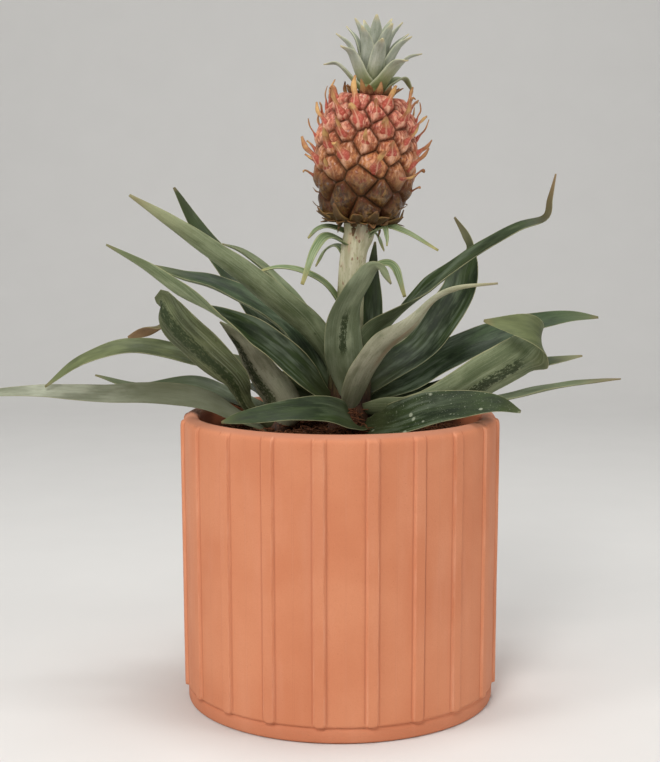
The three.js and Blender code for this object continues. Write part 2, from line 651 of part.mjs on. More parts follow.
// Potting mix: a filling with an uneven top, a lump of coir against the main stem and plain holes for
// the two stems, clear of the lowest leaves
function makeSoil(leaves) {
  const radius = innerTopRadius - gap - soilClearance;
  const profile = [
    [0, floorHeight + gap],
    [innerBottomRadius - floorBevel - soilClearance, floorHeight + gap],
    [innerBottomRadius - 2 * gap, floorHeight + floorBevel + soilClearance],
  ];
  for (let i = soilRings; i >= 0; i -= 1) profile.push([(radius * i) / soilRings, soilLevel]);
  const geometry = lathe(profile, 24);
  const position = geometry.attributes.position;
  for (let i = 0; i < position.count; i += 1) {
    if (position.getZ(i) < soilLevel - 1) continue;
    const x = position.getX(i);
    const y = position.getY(i);
    const wave = Math.sin(x * 0.21 + 1) * Math.cos(y * 0.17) + 0.6 * Math.sin(x * 0.4 - y * 0.33);
    position.setZ(i, soilLevel + soilRelief * wave);
  }
  const lump = new THREE.SphereGeometry(1, 8, 6);
  lump.scale(...coirLump.size.toArray());
  lump.translate(...coirLump.centre.toArray());
  const cuts = [stemSolid(gap), shootSolid(gap), ...leaves.map((leaf) => leaf.grown)];
  return largestBody(cuts.reduce((mix, cut) => mix.subtract(cut), solidOf(geometry).add(solidOf(lump))));
}

// The assembled plant in its pot

function named(name, solid, material) {
  const mesh = new THREE.Mesh(geometryOf(solid), material);
  mesh.name = name;
  return mesh;
}

const plant = new THREE.Group();
const leaves = makeLeaves();
plant.add(named('pot', makePot(), finish.terracotta));
plant.add(named('potting_soil', makeSoil(leaves), finish.coir));
plant.add(named('main_stem', makeMainStem(), finish.stalk));
plant.add(named('side_shoot_stem', shootSolid(), finish.stalk));
for (const { name, solid } of leaves) {
  plant.add(named(name, solid, finish.leaf));
}

// The fruit and its crown share one leaning axis on top of the stalk
const fruitTop = new THREE.Group();
fruitTop.position.copy(stalkTop);
fruitTop.rotation.y = fruitLean;
const fruit = named('fruit', makeFruit(), finish.fruit);
fruit.position.z = gap;
const crown = named('crown', makeCrown(), finish.crown);
crown.position.z = fruitHeight + 2 * gap;
fruitTop.add(fruit, crown);
plant.add(fruitTop);

export default plant;
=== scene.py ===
# Potted pineapple plant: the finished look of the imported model
# Sizes are in millimetres until a mesh is made, +Z is up and -Y is the front

import math

import bpy
import numpy as np
from mathutils import Matrix, Vector, noise
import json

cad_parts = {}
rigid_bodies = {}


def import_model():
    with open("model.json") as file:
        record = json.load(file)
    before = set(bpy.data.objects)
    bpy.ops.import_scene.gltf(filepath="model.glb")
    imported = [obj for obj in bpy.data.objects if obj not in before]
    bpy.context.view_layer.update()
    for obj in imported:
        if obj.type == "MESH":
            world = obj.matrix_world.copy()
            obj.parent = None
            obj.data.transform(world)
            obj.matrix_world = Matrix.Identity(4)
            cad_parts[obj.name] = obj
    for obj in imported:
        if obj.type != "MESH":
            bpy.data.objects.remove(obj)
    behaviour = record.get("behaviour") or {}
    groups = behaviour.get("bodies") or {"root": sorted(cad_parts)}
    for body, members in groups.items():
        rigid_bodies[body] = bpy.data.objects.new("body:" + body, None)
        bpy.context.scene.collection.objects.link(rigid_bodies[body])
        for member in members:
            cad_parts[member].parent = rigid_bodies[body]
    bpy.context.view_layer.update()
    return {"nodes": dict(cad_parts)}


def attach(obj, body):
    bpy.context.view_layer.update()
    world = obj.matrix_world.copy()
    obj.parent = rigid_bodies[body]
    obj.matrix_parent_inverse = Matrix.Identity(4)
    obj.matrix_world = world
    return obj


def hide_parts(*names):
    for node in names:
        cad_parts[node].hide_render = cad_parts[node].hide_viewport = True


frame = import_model()
scene = bpy.context.scene
millimetre = 0.001
goldenAngle = math.pi * (3 - math.sqrt(5))
up = np.array([0, 0, 1.0])
print("frame loaded:", len(frame["nodes"]), "nodes")


# Small sums

def lerp(low, high, share):
    return low + (high - low) * share


def smoothstep(value, low, high):
    share = np.clip((value - low) / (high - low), 0, 1)
    return share * share * (3 - 2 * share)


def unit(vectors):
    return vectors / np.linalg.norm(vectors, axis=-1, keepdims=True)


def tone(red, green, blue):  # a colour as it looks on a screen, 0 to 255
    def linear(value):
        value /= 255
        return value / 12.92 if value <= 0.04045 else ((value + 0.055) / 1.055) ** 2.4
    return linear(red), linear(green), linear(blue), 1.0


# Node trees, for finishes and for modifiers

class Wire:  # one socket, with the sums that the trees use
    def __init__(self, tree, socket):
        self.tree = tree
        self.socket = socket

    def other(self, name):  # another output of the same node
        return Wire(self.tree, self.socket.node.outputs[name])

    def sum(self, operation, *values):
        return self.tree.node("ShaderNodeMath", {"operation": operation}, dict(enumerate(values)))

    def __add__(self, other):
        return self.sum("ADD", self, other)

    def __sub__(self, other):
        return self.sum("SUBTRACT", self, other)

    def __mul__(self, other):
        return self.sum("MULTIPLY", self, other)

    def __rsub__(self, other):
        return self.sum("SUBTRACT", other, self)

    def __abs__(self):
        return self.sum("ABSOLUTE", self)

    __radd__ = __add__
    __rmul__ = __mul__

    def larger(self, other):
        return self.sum("MAXIMUM", self, other)

    def step(self, low, high):  # 0 below low, 1 above high, and the other way round if low is the higher
        return self.tree.node("ShaderNodeMapRange", {"interpolation_type": "SMOOTHSTEP"},
                              {0: self, 1: low, 2: high, 3: 0.0, 4: 1.0})


class Tree:
    def __init__(self, tree):
        self.tree = tree

    def node(self, kind, settings=None, values=None, output=0):
        made = self.tree.nodes.new(kind)
        for key, value in (settings or {}).items():
            setattr(made, key, value)
        for key, value in (values or {}).items():
            if isinstance(value, Wire):
                self.tree.links.new(value.socket, made.inputs[key])
            else:
                made.inputs[key].default_value = value
        return Wire(self, made.outputs[output]) if len(made.outputs) else made

    def mix(self, share, first, second):  # two colours, each a socket or a screen colour
        first, second = (tone(*tint) if isinstance(tint, tuple) else tint for tint in (first, second))
        return self.node("ShaderNodeMix", {"data_type": "RGBA"}, {0: share, 6: first, 7: second}, 2)

    def layered(self, colour, *layers):  # each layer's colour goes over the ones before, by its share
        for share, tint in layers:
            colour = self.mix(share, colour, tint)
        return colour

    def vector(self, operation, values):
        return self.node("ShaderNodeVectorMath", {"operation": operation}, values)

    def point(self, x, y, z):
        return self.node("ShaderNodeCombineXYZ", None, {0: x, 1: y, 2: z})

    def split(self, vector):
        parts = self.node("ShaderNodeSeparateXYZ", None, {0: vector})
        return parts, parts.other("Y"), parts.other("Z")

    def cloud(self, vector, scale, detail=2.0, roughness=0.5):
        return self.node("ShaderNodeTexNoise", None, {
            "Vector": vector, "Scale": scale, "Detail": detail, "Roughness": roughness})

    def cells(self, vector, scale):  # distance from the nearest of a scatter of points
        return self.node("ShaderNodeTexVoronoi", None, {"Vector": vector, "Scale": scale})

    def named(self, name, kind="FLOAT"):  # an attribute, read by a geometry tree
        return self.node("GeometryNodeInputNamedAttribute", {"data_type": kind}, {"Name": name})

    def random(self, kind, low, high, seed):
        first, output = {"FLOAT_VECTOR": (0, 0), "FLOAT": (2, 1), "INT": (4, 2)}[kind]
        return self.node("FunctionNodeRandomValue", {"data_type": kind},
                         {first: low, first + 1: high, "Seed": seed}, output)

    def dressed(self, geometry, material):  # how every geometry tree ends
        solid = self.node("GeometryNodeRealizeInstances", None, {"Geometry": geometry})
        return self.node("GeometryNodeSetMaterial", None, {"Geometry": solid, "Material": material})


class Finish(Tree):
    def __init__(self, name):
        self.material = bpy.data.materials.new(name)
        self.material.use_nodes = True
        super().__init__(self.material.node_tree)
        self.tree.nodes.clear()

    def attributes(self, *names):
        return [self.node("ShaderNodeAttribute", {"attribute_name": name}, None, "Fac") for name in names]

    def place(self):  # where a spot of the piece is, in millimetres
        vector = self.node("ShaderNodeTexCoord", None, None, "Object")
        return self.vector("SCALE", {0: vector, "Scale": 1000.0})

    def upright(self, flat, tall, detail, roughness=0.5):  # a cloud drawn out up the piece
        stretched = self.vector("MULTIPLY", {0: self.place(), 1: (flat, flat, tall)})
        return self.cloud(stretched, 1.0, detail, roughness)

    def drawnOut(self, fine, long, seed, detail=2, roughness=0.5):  # a cloud drawn out along a blade
        sideways, lengthways = self.attributes("sideways", "lengthways")
        return self.cloud(self.point(sideways * fine, lengthways * long, seed), 1.0, detail, roughness)

    def surface(self, colour, roughness, height=None, relief=0.2, specular=0.5, coat=None):
        values = {"Base Color": colour, "Roughness": roughness, "Specular IOR Level": specular}
        values.update(coat or {})
        if height is not None:
            values["Normal"] = self.node("ShaderNodeBump", None, {
                "Strength": 1.0, "Distance": relief * millimetre, "Height": height})
        shader = self.node("ShaderNodeBsdfPrincipled", None, values)
        self.node("ShaderNodeOutputMaterial", None, {"Surface": shader})
        return self.material


# Pieces


def makePiece(name, points, faces, materials, attributes=None, faceMaterials=None):
    mesh = bpy.data.meshes.new(name)
    mesh.from_pydata((np.asarray(points) * millimetre).tolist(), [], faces)
    for key, values in (attributes or {}).items():
        attribute = mesh.attributes.new(key, "FLOAT", "POINT")
        attribute.data.foreach_set("value", np.ravel(values).astype(np.float32))
    for material in materials:
        mesh.materials.append(material)
    if faceMaterials is not None:
        mesh.polygons.foreach_set("material_index", faceMaterials)
    return pieceOf(name, mesh)


def settle(piece, slot, *nodes):  # hands a finished piece to the frame
    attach(piece, "root")
    if nodes:
        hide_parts(*nodes)


def joinSkins(skins):  # several (points, faces, attributes) as one
    points, faces, attributes, start = [], [], {}, 0
    for skinPoints, skinFaces, skinAttributes in skins:
        points.append(skinPoints)
        faces += [[corner + start for corner in face] for face in skinFaces]
        for key, values in skinAttributes.items():
            attributes.setdefault(key, []).append(values)
        start += len(skinPoints)
    return np.vstack(points), faces, {key: np.concatenate(values) for key, values in attributes.items()}


def circle(count):  # angles spread evenly round a full turn
    return np.arange(count) / count * 2 * np.pi


def gridFaces(rows, columns):  # rings of quads, each ring closed
    faces = []
    for row in range(rows - 1):
        for column in range(columns):
            right = (column + 1) % columns
            faces.append([row * columns + column, row * columns + right,
                          (row + 1) * columns + right, (row + 1) * columns + column])
    return faces


def tube(centre, side, other, radius, sides):  # rings round a middle line, closed at both ends
    turn = circle(sides)
    ring = side[:, None] * np.cos(turn)[None, :, None] + other[:, None] * np.sin(turn)[None, :, None]
    points = (centre[:, None] + radius[..., None] * ring).reshape(-1, 3)
    last = (len(centre) - 1) * sides
    faces = gridFaces(len(centre), sides)
    faces.append(list(range(sides))[::-1])
    faces.append(list(range(last, last + sides)))
    return points, faces


def turned(profile, angles):  # a profile of (radius, height) turned round Z, closed at both poles
    profile = np.array(profile, float)
    inner = profile[1:-1]
    points = np.stack([
        inner[:, :1] * np.sin(angles)[None, :],
        -inner[:, :1] * np.cos(angles)[None, :],
        np.repeat(inner[:, 1:], len(angles), axis=1)], axis=-1).reshape(-1, 3)
    columns, rows = len(angles), len(inner)
    faces = gridFaces(rows, columns)
    low, high = len(points), len(points) + 1
    points = np.vstack([points, [[0, 0, profile[0, 1]], [0, 0, profile[-1, 1]]]])
    for column in range(columns):
        right = (column + 1) % columns
        faces.append([low, right, column])
        faces.append([high, (rows - 1) * columns + column, (rows - 1) * columns + right])
    return points, faces


def pathPoints(guides, count):  # points and directions along a smooth curve through the guides
    guides = np.array(guides, float)
    ends = np.vstack([2 * guides[0] - guides[1], guides, 2 * guides[-1] - guides[-2]])
    place = np.linspace(0, 1, count) * (len(guides) - 1)
    index = np.minimum(place.astype(int), len(guides) - 2)
    share = (place - index)[:, None]
    before, start, end, after = (ends[index + k] for k in range(4))
    leave, arrive = (end - before) / 2, (after - start) / 2
    square = 3 * (end - start) - 2 * leave - arrive
    cube = 2 * (start - end) + leave + arrive
    centre = start + leave * share + square * share ** 2 + cube * share ** 3
    return centre, unit(leave + 2 * square * share + 3 * cube * share ** 2)


def growTree(name, source, inputs, build):  # runs a geometry tree on a source piece and returns the mesh
    group = bpy.data.node_groups.new(name, "GeometryNodeTree")
    group.interface.new_socket("Geometry", in_out="INPUT", socket_type="NodeSocketGeometry")
    group.interface.new_socket("Geometry", in_out="OUTPUT", socket_type="NodeSocketGeometry")
    kinds = {float: "NodeSocketFloat", int: "NodeSocketInt"}
    sockets = {label: group.interface.new_socket(label, in_out="INPUT", socket_type=kinds[type(value)])
               for label, value in inputs.items()}
    tree = Tree(group)
    entry = tree.node("NodeGroupInput")
    result = build(tree, entry, {label: entry.other(label) for label in inputs})
    tree.node("NodeGroupOutput", None, {"Geometry": result})
    modifier = source.modifiers.new(name, "NODES")
    modifier.node_group = group
    for label, value in inputs.items():
        modifier[sockets[label].identifier] = value
    graph = bpy.context.evaluated_depsgraph_get()
    mesh = bpy.data.meshes.new_from_object(source.evaluated_get(graph), depsgraph=graph)
    source.modifiers.remove(modifier)
    return mesh


def pieceOf(name, mesh):
    mesh.name = name
    mesh.polygons.foreach_set("use_smooth", [True] * len(mesh.polygons))
    piece = bpy.data.objects.new(name, mesh)
    scene.collection.objects.link(piece)
    return piece


def scatter(tree, points, variants, scale, rotation, seed):  # one of the variants on each point
    shapes = tree.node("GeometryNodeCollectionInfo", None, {
        "Collection": variants, "Separate Children": True, "Reset Children": True})
    index = tree.random("INT", 0, len(variants.objects) - 1, seed)
    return tree.node("GeometryNodeInstanceOnPoints", None, {
        "Points": points, "Instance": shapes, "Pick Instance": True, "Instance Index": index,
        "Rotation": rotation, "Scale": scale})


def variantShelf(name, pieces):
    shelf = bpy.data.collections.new(name)
    for piece in pieces:
        scene.collection.objects.unlink(piece)
        shelf.objects.link(piece)
    return shelf


def clearShelf(shelf):
    for piece in list(shelf.objects):
        bpy.data.objects.remove(piece)
    bpy.data.collections.remove(shelf)


# Pot: a turned terracotta wall, with ribs raised from it by a tree

pot = {
    "height": 126.0, "topRadius": 68.8, "bottomRadius": 68.1, "footRadius": 67.6, "footHeight": 5.2,
    "grooveRadius": 66.9, "innerTopRadius": 61.9, "innerBottomRadius": 60.4, "floorHeight": 9.0,
    # rows of the rim: how far in from the outer or the inner wall, and how far down from the top
    "outerEdge": [(0, 6.5), (0, 5.7), (0.03, 4.9), (0.07, 4.2), (0.13, 3.5), (0.24, 2.9), (0.4, 2.35),
                  (0.62, 1.85), (0.9, 1.4)],
    "lip": [(1.25, 1.0), (1.7, 0.62), (2.2, 0.33), (2.8, 0.12), (3.5, 0)],
    "innerEdge": [(-2.5, 0.12), (-1.7, 0.4), (-1.0, 0.9), (-0.45, 1.7), (-0.12, 2.7), (0, 3.8), (0.1, 9)],
    # the wall's rows stand closer below and above these levels, where the ribs end
    "fineBelow": 12, "fineAbove": 110,
    "firstRib": -7.0, "ribPitch": 18.0, "ribRise": 1.2, "ribHalfWidth": 2.4, "ribEdge": 0.5,
    "ribLow": 6.6, "ribHigh": 124.5, "ribRounding": 1.7, "wobble": 0.4, "uneven": 0.35,
    "ribOffsets": [0, 0, -1.2, -2.6, -2, -1, 0, 0.6, -0.5, 0.8, 0, -0.7, 0.5, 0, 0.6, 0, 0, 0, 0, 0],
    "clay": ((203, 126, 88), (212, 138, 100)),
}


def terracotta():
    paint = Finish("terracotta")
    place = paint.place()
    x, y, z = paint.split(place)
    arc, outer = paint.attributes("arc", "outer")
    arc = abs(arc)
    broad = paint.cloud(place, 0.028, 3)
    smear = paint.upright(0.12, 0.018, 3)
    wearAndHighlight = paint.upright(0.2, 0.05, 3, 0.6)
    grit = paint.cloud(place, 1.6, 3, 0.7)
    pits = paint.cells(place, 0.55)
    # lighter rib flanks: partly worn clay, partly painted highlight
    edge = arc.step(1.7, 2.1) * arc.step(2.7, 2.3) * outer * z.step(7, 9)
    # darker line beside each rib: painted shade, partly dirt
    shadeAndDirtBesideRibs = arc.step(2.6, 2.85) * arc.step(3.7, 3.0) * outer * z.step(7, 9) * z.step(125, 124)
    lip = z.step(123.5, 125.4)
    inside = (x * x + y * y).step(62.6 ** 2, 62.0 ** 2) * z.step(60, 80)
    low = z.step(9, 3)
    speck = pits.step(0.16, 0.06) * grit.step(0.5, 0.62)
    clay = paint.layered(
        paint.mix(broad.step(0.3, 0.7), *pot["clay"]),
        (smear.step(0.45, 0.8) * 0.3, (218, 152, 120)),
        (grit.step(0.35, 0.75) * 0.18, (190, 112, 78)),
        (edge * wearAndHighlight.step(0.35, 0.7) * 0.32, (236, 176, 146)),
        (shadeAndDirtBesideRibs * 0.38, (160, 88, 60)),
        (lip * 0.6, (168, 116, 94)),
        (inside * 0.6, (206, 116, 78)),
        (inside * z.step(119, 116) * 0.5, (120, 72, 50)),
        (low * 0.3, (180, 106, 76)),
        (speck * 0.3, (168, 94, 64)))
    height = grit * 0.5 + broad * 0.5 - pits.step(0.2, 0.05) * 0.4
    return paint.surface(clay, 0.6 + grit * 0.2, height, 0.12, 0.4)


def potWall(tree, entry, inputs):
    position = tree.node("GeometryNodeInputPosition")
    x, y, z = tree.split(position)
    outer, arc, number = (tree.named(name) for name in ("outer", "arc", "rib"))
    tall = z * 1000.0
    sway = tree.cloud(tree.point(number * 7.31, tall * 0.035, 2.0), 1.0, 2) - 0.5
    swell = tree.cloud(tree.point(number * 3.17, tall * 0.06, 9.0), 1.0, 2) - 0.5
    across = abs(arc + sway * inputs["Wobble"] * 2.0) - inputs["Rib Half Width"] + swell * inputs["Wobble"]
    middle = (pot["ribLow"] + pot["ribHigh"]) / 2
    lengthways = abs(tall - middle) - (pot["ribHigh"] - pot["ribLow"]) / 2
    cornerX = (across + pot["ribRounding"]).larger(0.0)
    cornerZ = (lengthways + pot["ribRounding"]).larger(0.0)
    square = cornerX * cornerX + cornerZ * cornerZ
    away = square.sum("SQRT", square) - pot["ribRounding"]
    rise = away.step(inputs["Rib Edge"], 0.0 - inputs["Rib Edge"]) * inputs["Rib Rise"]
    uneven = (tree.cloud(position, 26.0, 2) - 0.5) * pot["uneven"]
    flat = tree.vector("NORMALIZE", {0: tree.point(x, y, 0.0)})
    offset = tree.vector("SCALE", {0: flat, "Scale": (rise + uneven) * outer * millimetre})
    moved = tree.node("GeometryNodeSetPosition", None, {"Geometry": entry, "Offset": offset})
    return tree.dressed(moved, terracottaFinish)


terracottaFinish = terracotta()


def ribColumns():  # angle, distance from the rib's middle and rib number of each column
    edge = np.arange(1.0, 3.01, 0.2)
    near = np.concatenate([-edge[::-1], [-0.5, 0, 0.5], edge])
    offsets = pot["ribOffsets"]
    middles = pot["firstRib"] + np.arange(len(offsets)) * pot["ribPitch"] + offsets
    columns = []
    for rib, middle in enumerate(middles):
        following = middles[(rib + 1) % len(middles)] + (360 if rib == len(middles) - 1 else 0)
        columns += [(middle + offset, offset, rib) for offset in near]
        for place in np.linspace(middle + near[-1], following - near[-1], 8)[1:-1]:
            past, ahead = place - middle, following - place
            columns.append((place, past if past < ahead else -ahead, rib))
    angle, offset, rib = np.array(columns).T
    return np.radians(angle), np.radians(offset) * pot["topRadius"], rib


def makePot():
    foot, groove, height = pot["footHeight"], pot["footHeight"] + 0.9, pot["height"]
    wallLow, wallHigh = groove + 1.0, height - 7
    top, bottom, inner = pot["topRadius"], pot["bottomRadius"], pot["innerTopRadius"]
    footRadius, grooveRadius = pot["footRadius"], pot["grooveRadius"]
    floorRadius, floor = pot["innerBottomRadius"], pot["floorHeight"]
    levels = np.concatenate([
        np.arange(wallLow, pot["fineBelow"], 0.7), np.linspace(pot["fineBelow"], pot["fineAbove"], 26),
        np.arange(pot["fineAbove"] + 1, wallHigh, 0.8)])
    outside = [
        (0, 0), (30, 0), (60, 0), (footRadius - 0.9, 0), (footRadius - 0.2, 0.25), (footRadius, 0.9),
        (footRadius, foot - 0.5), (footRadius - 0.25, foot), (grooveRadius, groove - 0.2),
        (grooveRadius, groove + 0.3), (bottom - 0.3, groove + 0.8),
        *((lerp(bottom, top, (level - wallLow) / (wallHigh - wallLow)), level) for level in levels),
        *((top - inset, height - drop) for inset, drop in pot["outerEdge"]),
    ]
    inside = [
        *((top - inset, height - drop) for inset, drop in pot["lip"]),
        *((inner - inset, height - drop) for inset, drop in pot["innerEdge"]),
        (inner - 0.6, 60), (floorRadius, floor + 5), (floorRadius - 1.2, floor + 1.4),
        (floorRadius - 4.5, floor), (30, floor), (0, floor),
    ]
    angles, arc, rib = ribColumns()
    points, faces = turned(outside + inside, angles)
    outer = np.zeros(len(points))
    outer[:(len(outside) - 1) * len(angles)] = 1
    outer[:3 * len(angles)] = 0
    rows = len(outside) + len(inside) - 2
    attributes = {"outer": outer, "arc": np.append(np.tile(arc, rows), [0, 0]),
                  "rib": np.append(np.tile(rib, rows), [0, 0])}
    source = makePiece("potBlank", points, faces, [], attributes)
    mesh = growTree("potRibs", source, {
        "Rib Rise": pot["ribRise"], "Rib Half Width": pot["ribHalfWidth"], "Rib Edge": pot["ribEdge"],
        "Wobble": pot["wobble"]}, potWall)
    bpy.data.objects.remove(source)
    return pieceOf("ribbedPot", mesh)


settle(makePot(), "terracotta", "pot")
print("pot made")


# Coir potting mix: an uneven filling with fibres, shreds and chips of coir lying on it

soil = {
    "level": 116.0, "radius": 61.2, "foot": 9.5, "relief": 0.9, "rings": 44, "sides": 132, "seed": 7,
    "bottom": [(0, 0), (51, 0), (57, 4), (59.6, 10)],  # radius, and height above the foot
    # each mound: x, y, radius, rise
    "mounds": [(4.5, -12.5, 6.5, 13.0), (4.0, 2.0, 13.0, 5.0), (-27.0, -2.0, 8.0, 4.5),
               (-15.0, -9.0, 5.0, 4.0), (30.0, -30.0, 9.0, 2.2), (-34.0, 24.0, 11.0, 2.4),
               (26.0, 30.0, 12.0, 2.6)],
    "finishes": {  # dark and light tone, and how fine the grain is
        "coirMix": ((46, 28, 20), (92, 56, 38), 0.7),
        "coirFibre": ((78, 46, 30), (140, 90, 60), 1.4),
        "coirChip": ((44, 27, 19), (112, 72, 48), 0.9),
    },
}
strewn = {  # shape: length, thickness and curl, each as the first one's size and what the next ones add
    "coirFibres": {
        "shapes": 5, "shape": [(5, 2.2), (0.16, 0.03), (0.7, 0.35)], "steps": 8, "seed": 40,
        "finish": "coirFibre", "density": 0.16, "tilt": 0.45, "sizes": (0.7, 1.3), "reach": 51},
    "coirShreds": {
        "shapes": 4, "shape": [(3, 1.2), (0.15, 0.03), (0.5, 0.2)], "steps": 7, "seed": 90,
        "finish": "coirFibre", "density": 0.2, "tilt": 0.5, "sizes": (0.7, 1.3), "reach": 57.5},
    "coirChips": {
        "shapes": 4, "shape": [(0.8, 0.25)], "seed": 60,
        "finish": "coirChip", "density": 0.12, "tilt": 0.6, "sizes": (0.6, 1.5), "reach": 59.5},
}


def soilHeight(x, y):
    wave = np.sin(x * 0.21 + 1) * np.cos(y * 0.17) + 0.6 * np.sin(x * 0.4 - y * 0.33)
    height = soil["level"] + soil["relief"] * wave
    for centreX, centreY, radius, rise in soil["mounds"]:
        height = height + rise * np.exp(-((x - centreX) ** 2 + (y - centreY) ** 2) / (0.62 * radius ** 2))
    crumbs = np.array([noise.turbulence(Vector((a * 0.16, b * 0.16, 3.0)), 4, False) for a, b in zip(x, y)])
    rim = smoothstep(np.hypot(x, y), soil["radius"] - 1, soil["radius"] - 9)
    return height + (crumbs * 2.1 - 1.0) * (0.35 + 0.65 * rim)


def coir(name, dark, light, scale):
    paint = Finish(name)
    place = paint.place()
    shade = paint.cloud(place, scale, 4, 0.65)
    blotch = paint.cloud(place, scale * 0.22, 2)
    colour = paint.layered(
        paint.mix(shade.step(0.32, 0.7), dark, light),
        (blotch.step(0.55, 0.75) * 0.5, (34, 24, 18)))
    return paint.surface(colour, 0.85 + shade * 0.1, shade, 0.5, 0.2)


def strand(length, radius, curl, sides, steps, seed):  # a curled thread lying along X
    draw = np.random.default_rng(seed)
    share = np.linspace(0, 1, steps)
    phase = draw.uniform(0, 6.28, 4)
    centre = np.stack([
        (share - 0.5) * length,
        curl * (np.sin(share * 5 + phase[0]) + 0.4 * np.sin(share * 11 + phase[1])),
        curl * 0.55 * (1 + np.sin(share * 4 + phase[2])) + radius], axis=-1)
    along = unit(np.gradient(centre, axis=0))
    side = unit(np.cross(along, [0, 0, 1]))
    thick = radius * (0.35 + 0.65 * np.sin(np.pi * np.clip(share, 0.06, 0.94)))
    return tube(centre, side, np.cross(side, along), thick[:, None], sides)


def chip(size, seed):  # a crumb with uneven corners
    draw = np.random.default_rng(seed)
    corners = np.array([[1, 0, 0], [-1, 0, 0], [0, 1, 0], [0, -1, 0], [0, 0, 0.45], [0, 0, -0.45]])
    points = corners * size * draw.uniform(0.6, 1.3, (6, 1))
    faces = [[0, 2, 4], [2, 1, 4], [1, 3, 4], [3, 0, 4], [2, 0, 5], [1, 2, 5], [3, 1, 5], [0, 3, 5]]
    return points, faces


def strewnShape(kind, number):
    sizes = [first + more * number for first, more in kind["shape"]]
    seed = kind["seed"] + number
    return strand(*sizes, 4, kind["steps"], seed) if "steps" in kind else chip(*sizes, seed)


def litter(shelf, material, kind):  # a tree that strews variants over a surface
    def build(tree, entry, inputs):
        seed, tilt = inputs["Seed"], kind["tilt"]
        density = kind["density"] / millimetre ** 2  # from square millimetres to square metres
        spread = tree.node("GeometryNodeDistributePointsOnFaces", None, {
            "Mesh": entry, "Density": density, "Seed": seed})
        turn = tree.random("FLOAT_VECTOR", (-tilt, -tilt, -math.pi), (tilt, tilt, math.pi), seed)
        size = tree.random("FLOAT", *kind["sizes"], seed)
        return tree.dressed(scatter(tree, spread, shelf, size, turn, seed), material)
    return build


def makeSoil():
    finishes = {name: coir(name, *tones) for name, tones in soil["finishes"].items()}
    level, radius, rings = soil["level"], soil["radius"], soil["rings"]
    profile = [(out, soil["foot"] + rise) for out, rise in soil["bottom"]]
    profile += [(out, level) for out in np.linspace(radius, radius / rings, rings)] + [(0, level)]
    points, faces = turned(profile, circle(soil["sides"]))
    top = np.abs(points[:, 2] - level) < 0.01
    points[top, 2] = soilHeight(points[top, 0], points[top, 1])
    settle(makePiece("pottingMix", points, faces, [finishes["coirMix"]]), "coir", "potting_soil")
    distance = np.hypot(points[:, 0], points[:, 1])
    for name, kind in strewn.items():
        near = top & (distance < kind["reach"])
        bed = makePiece("soilBed", points, [face for face in faces if all(near[face])], [])
        variants = [makePiece(f"variant{number}", *strewnShape(kind, number), [])
                    for number in range(kind["shapes"])]
        shelf = variantShelf(name, variants)
        mesh = growTree(name, bed, {"Seed": soil["seed"]}, litter(shelf, finishes[kind["finish"]], kind))
        settle(pieceOf(name, mesh), "coir")
        clearShelf(shelf)
        bpy.data.objects.remove(bed)


makeSoil()
print("potting mix made")


# Blades: the gutter-shaped strips that leaves, bracts and crown leaves are made of

bladeKeys = ("across", "along", "sideways", "lengthways", "underside")


def noBlade(points):  # the same attributes, all at nothing, for a part that is joined with blades
    return {key: np.zeros(len(points)) for key in bladeKeys}


def between(directions, share):  # directions spread evenly from 0 to 1
    directions = np.array(directions, float)
    place = np.clip(share, 0, 1) * (len(directions) - 1)
    index = np.minimum(place.astype(int), len(directions) - 2)
    return lerp(directions[index], directions[index + 1], (place - index)[:, None])


def leafWidth(share, taper):
    return (0.45 + 0.55 * smoothstep(share, 0, 0.3)) * (1 - 0.93 * share ** taper)


def crownWidth(share):
    return (1.15 - 0.15 * smoothstep(share, 0.1, 0.4)) * (1 - 0.9 * share ** 2.2)


def bractWidth(share):
    return 1 - 0.8 * share


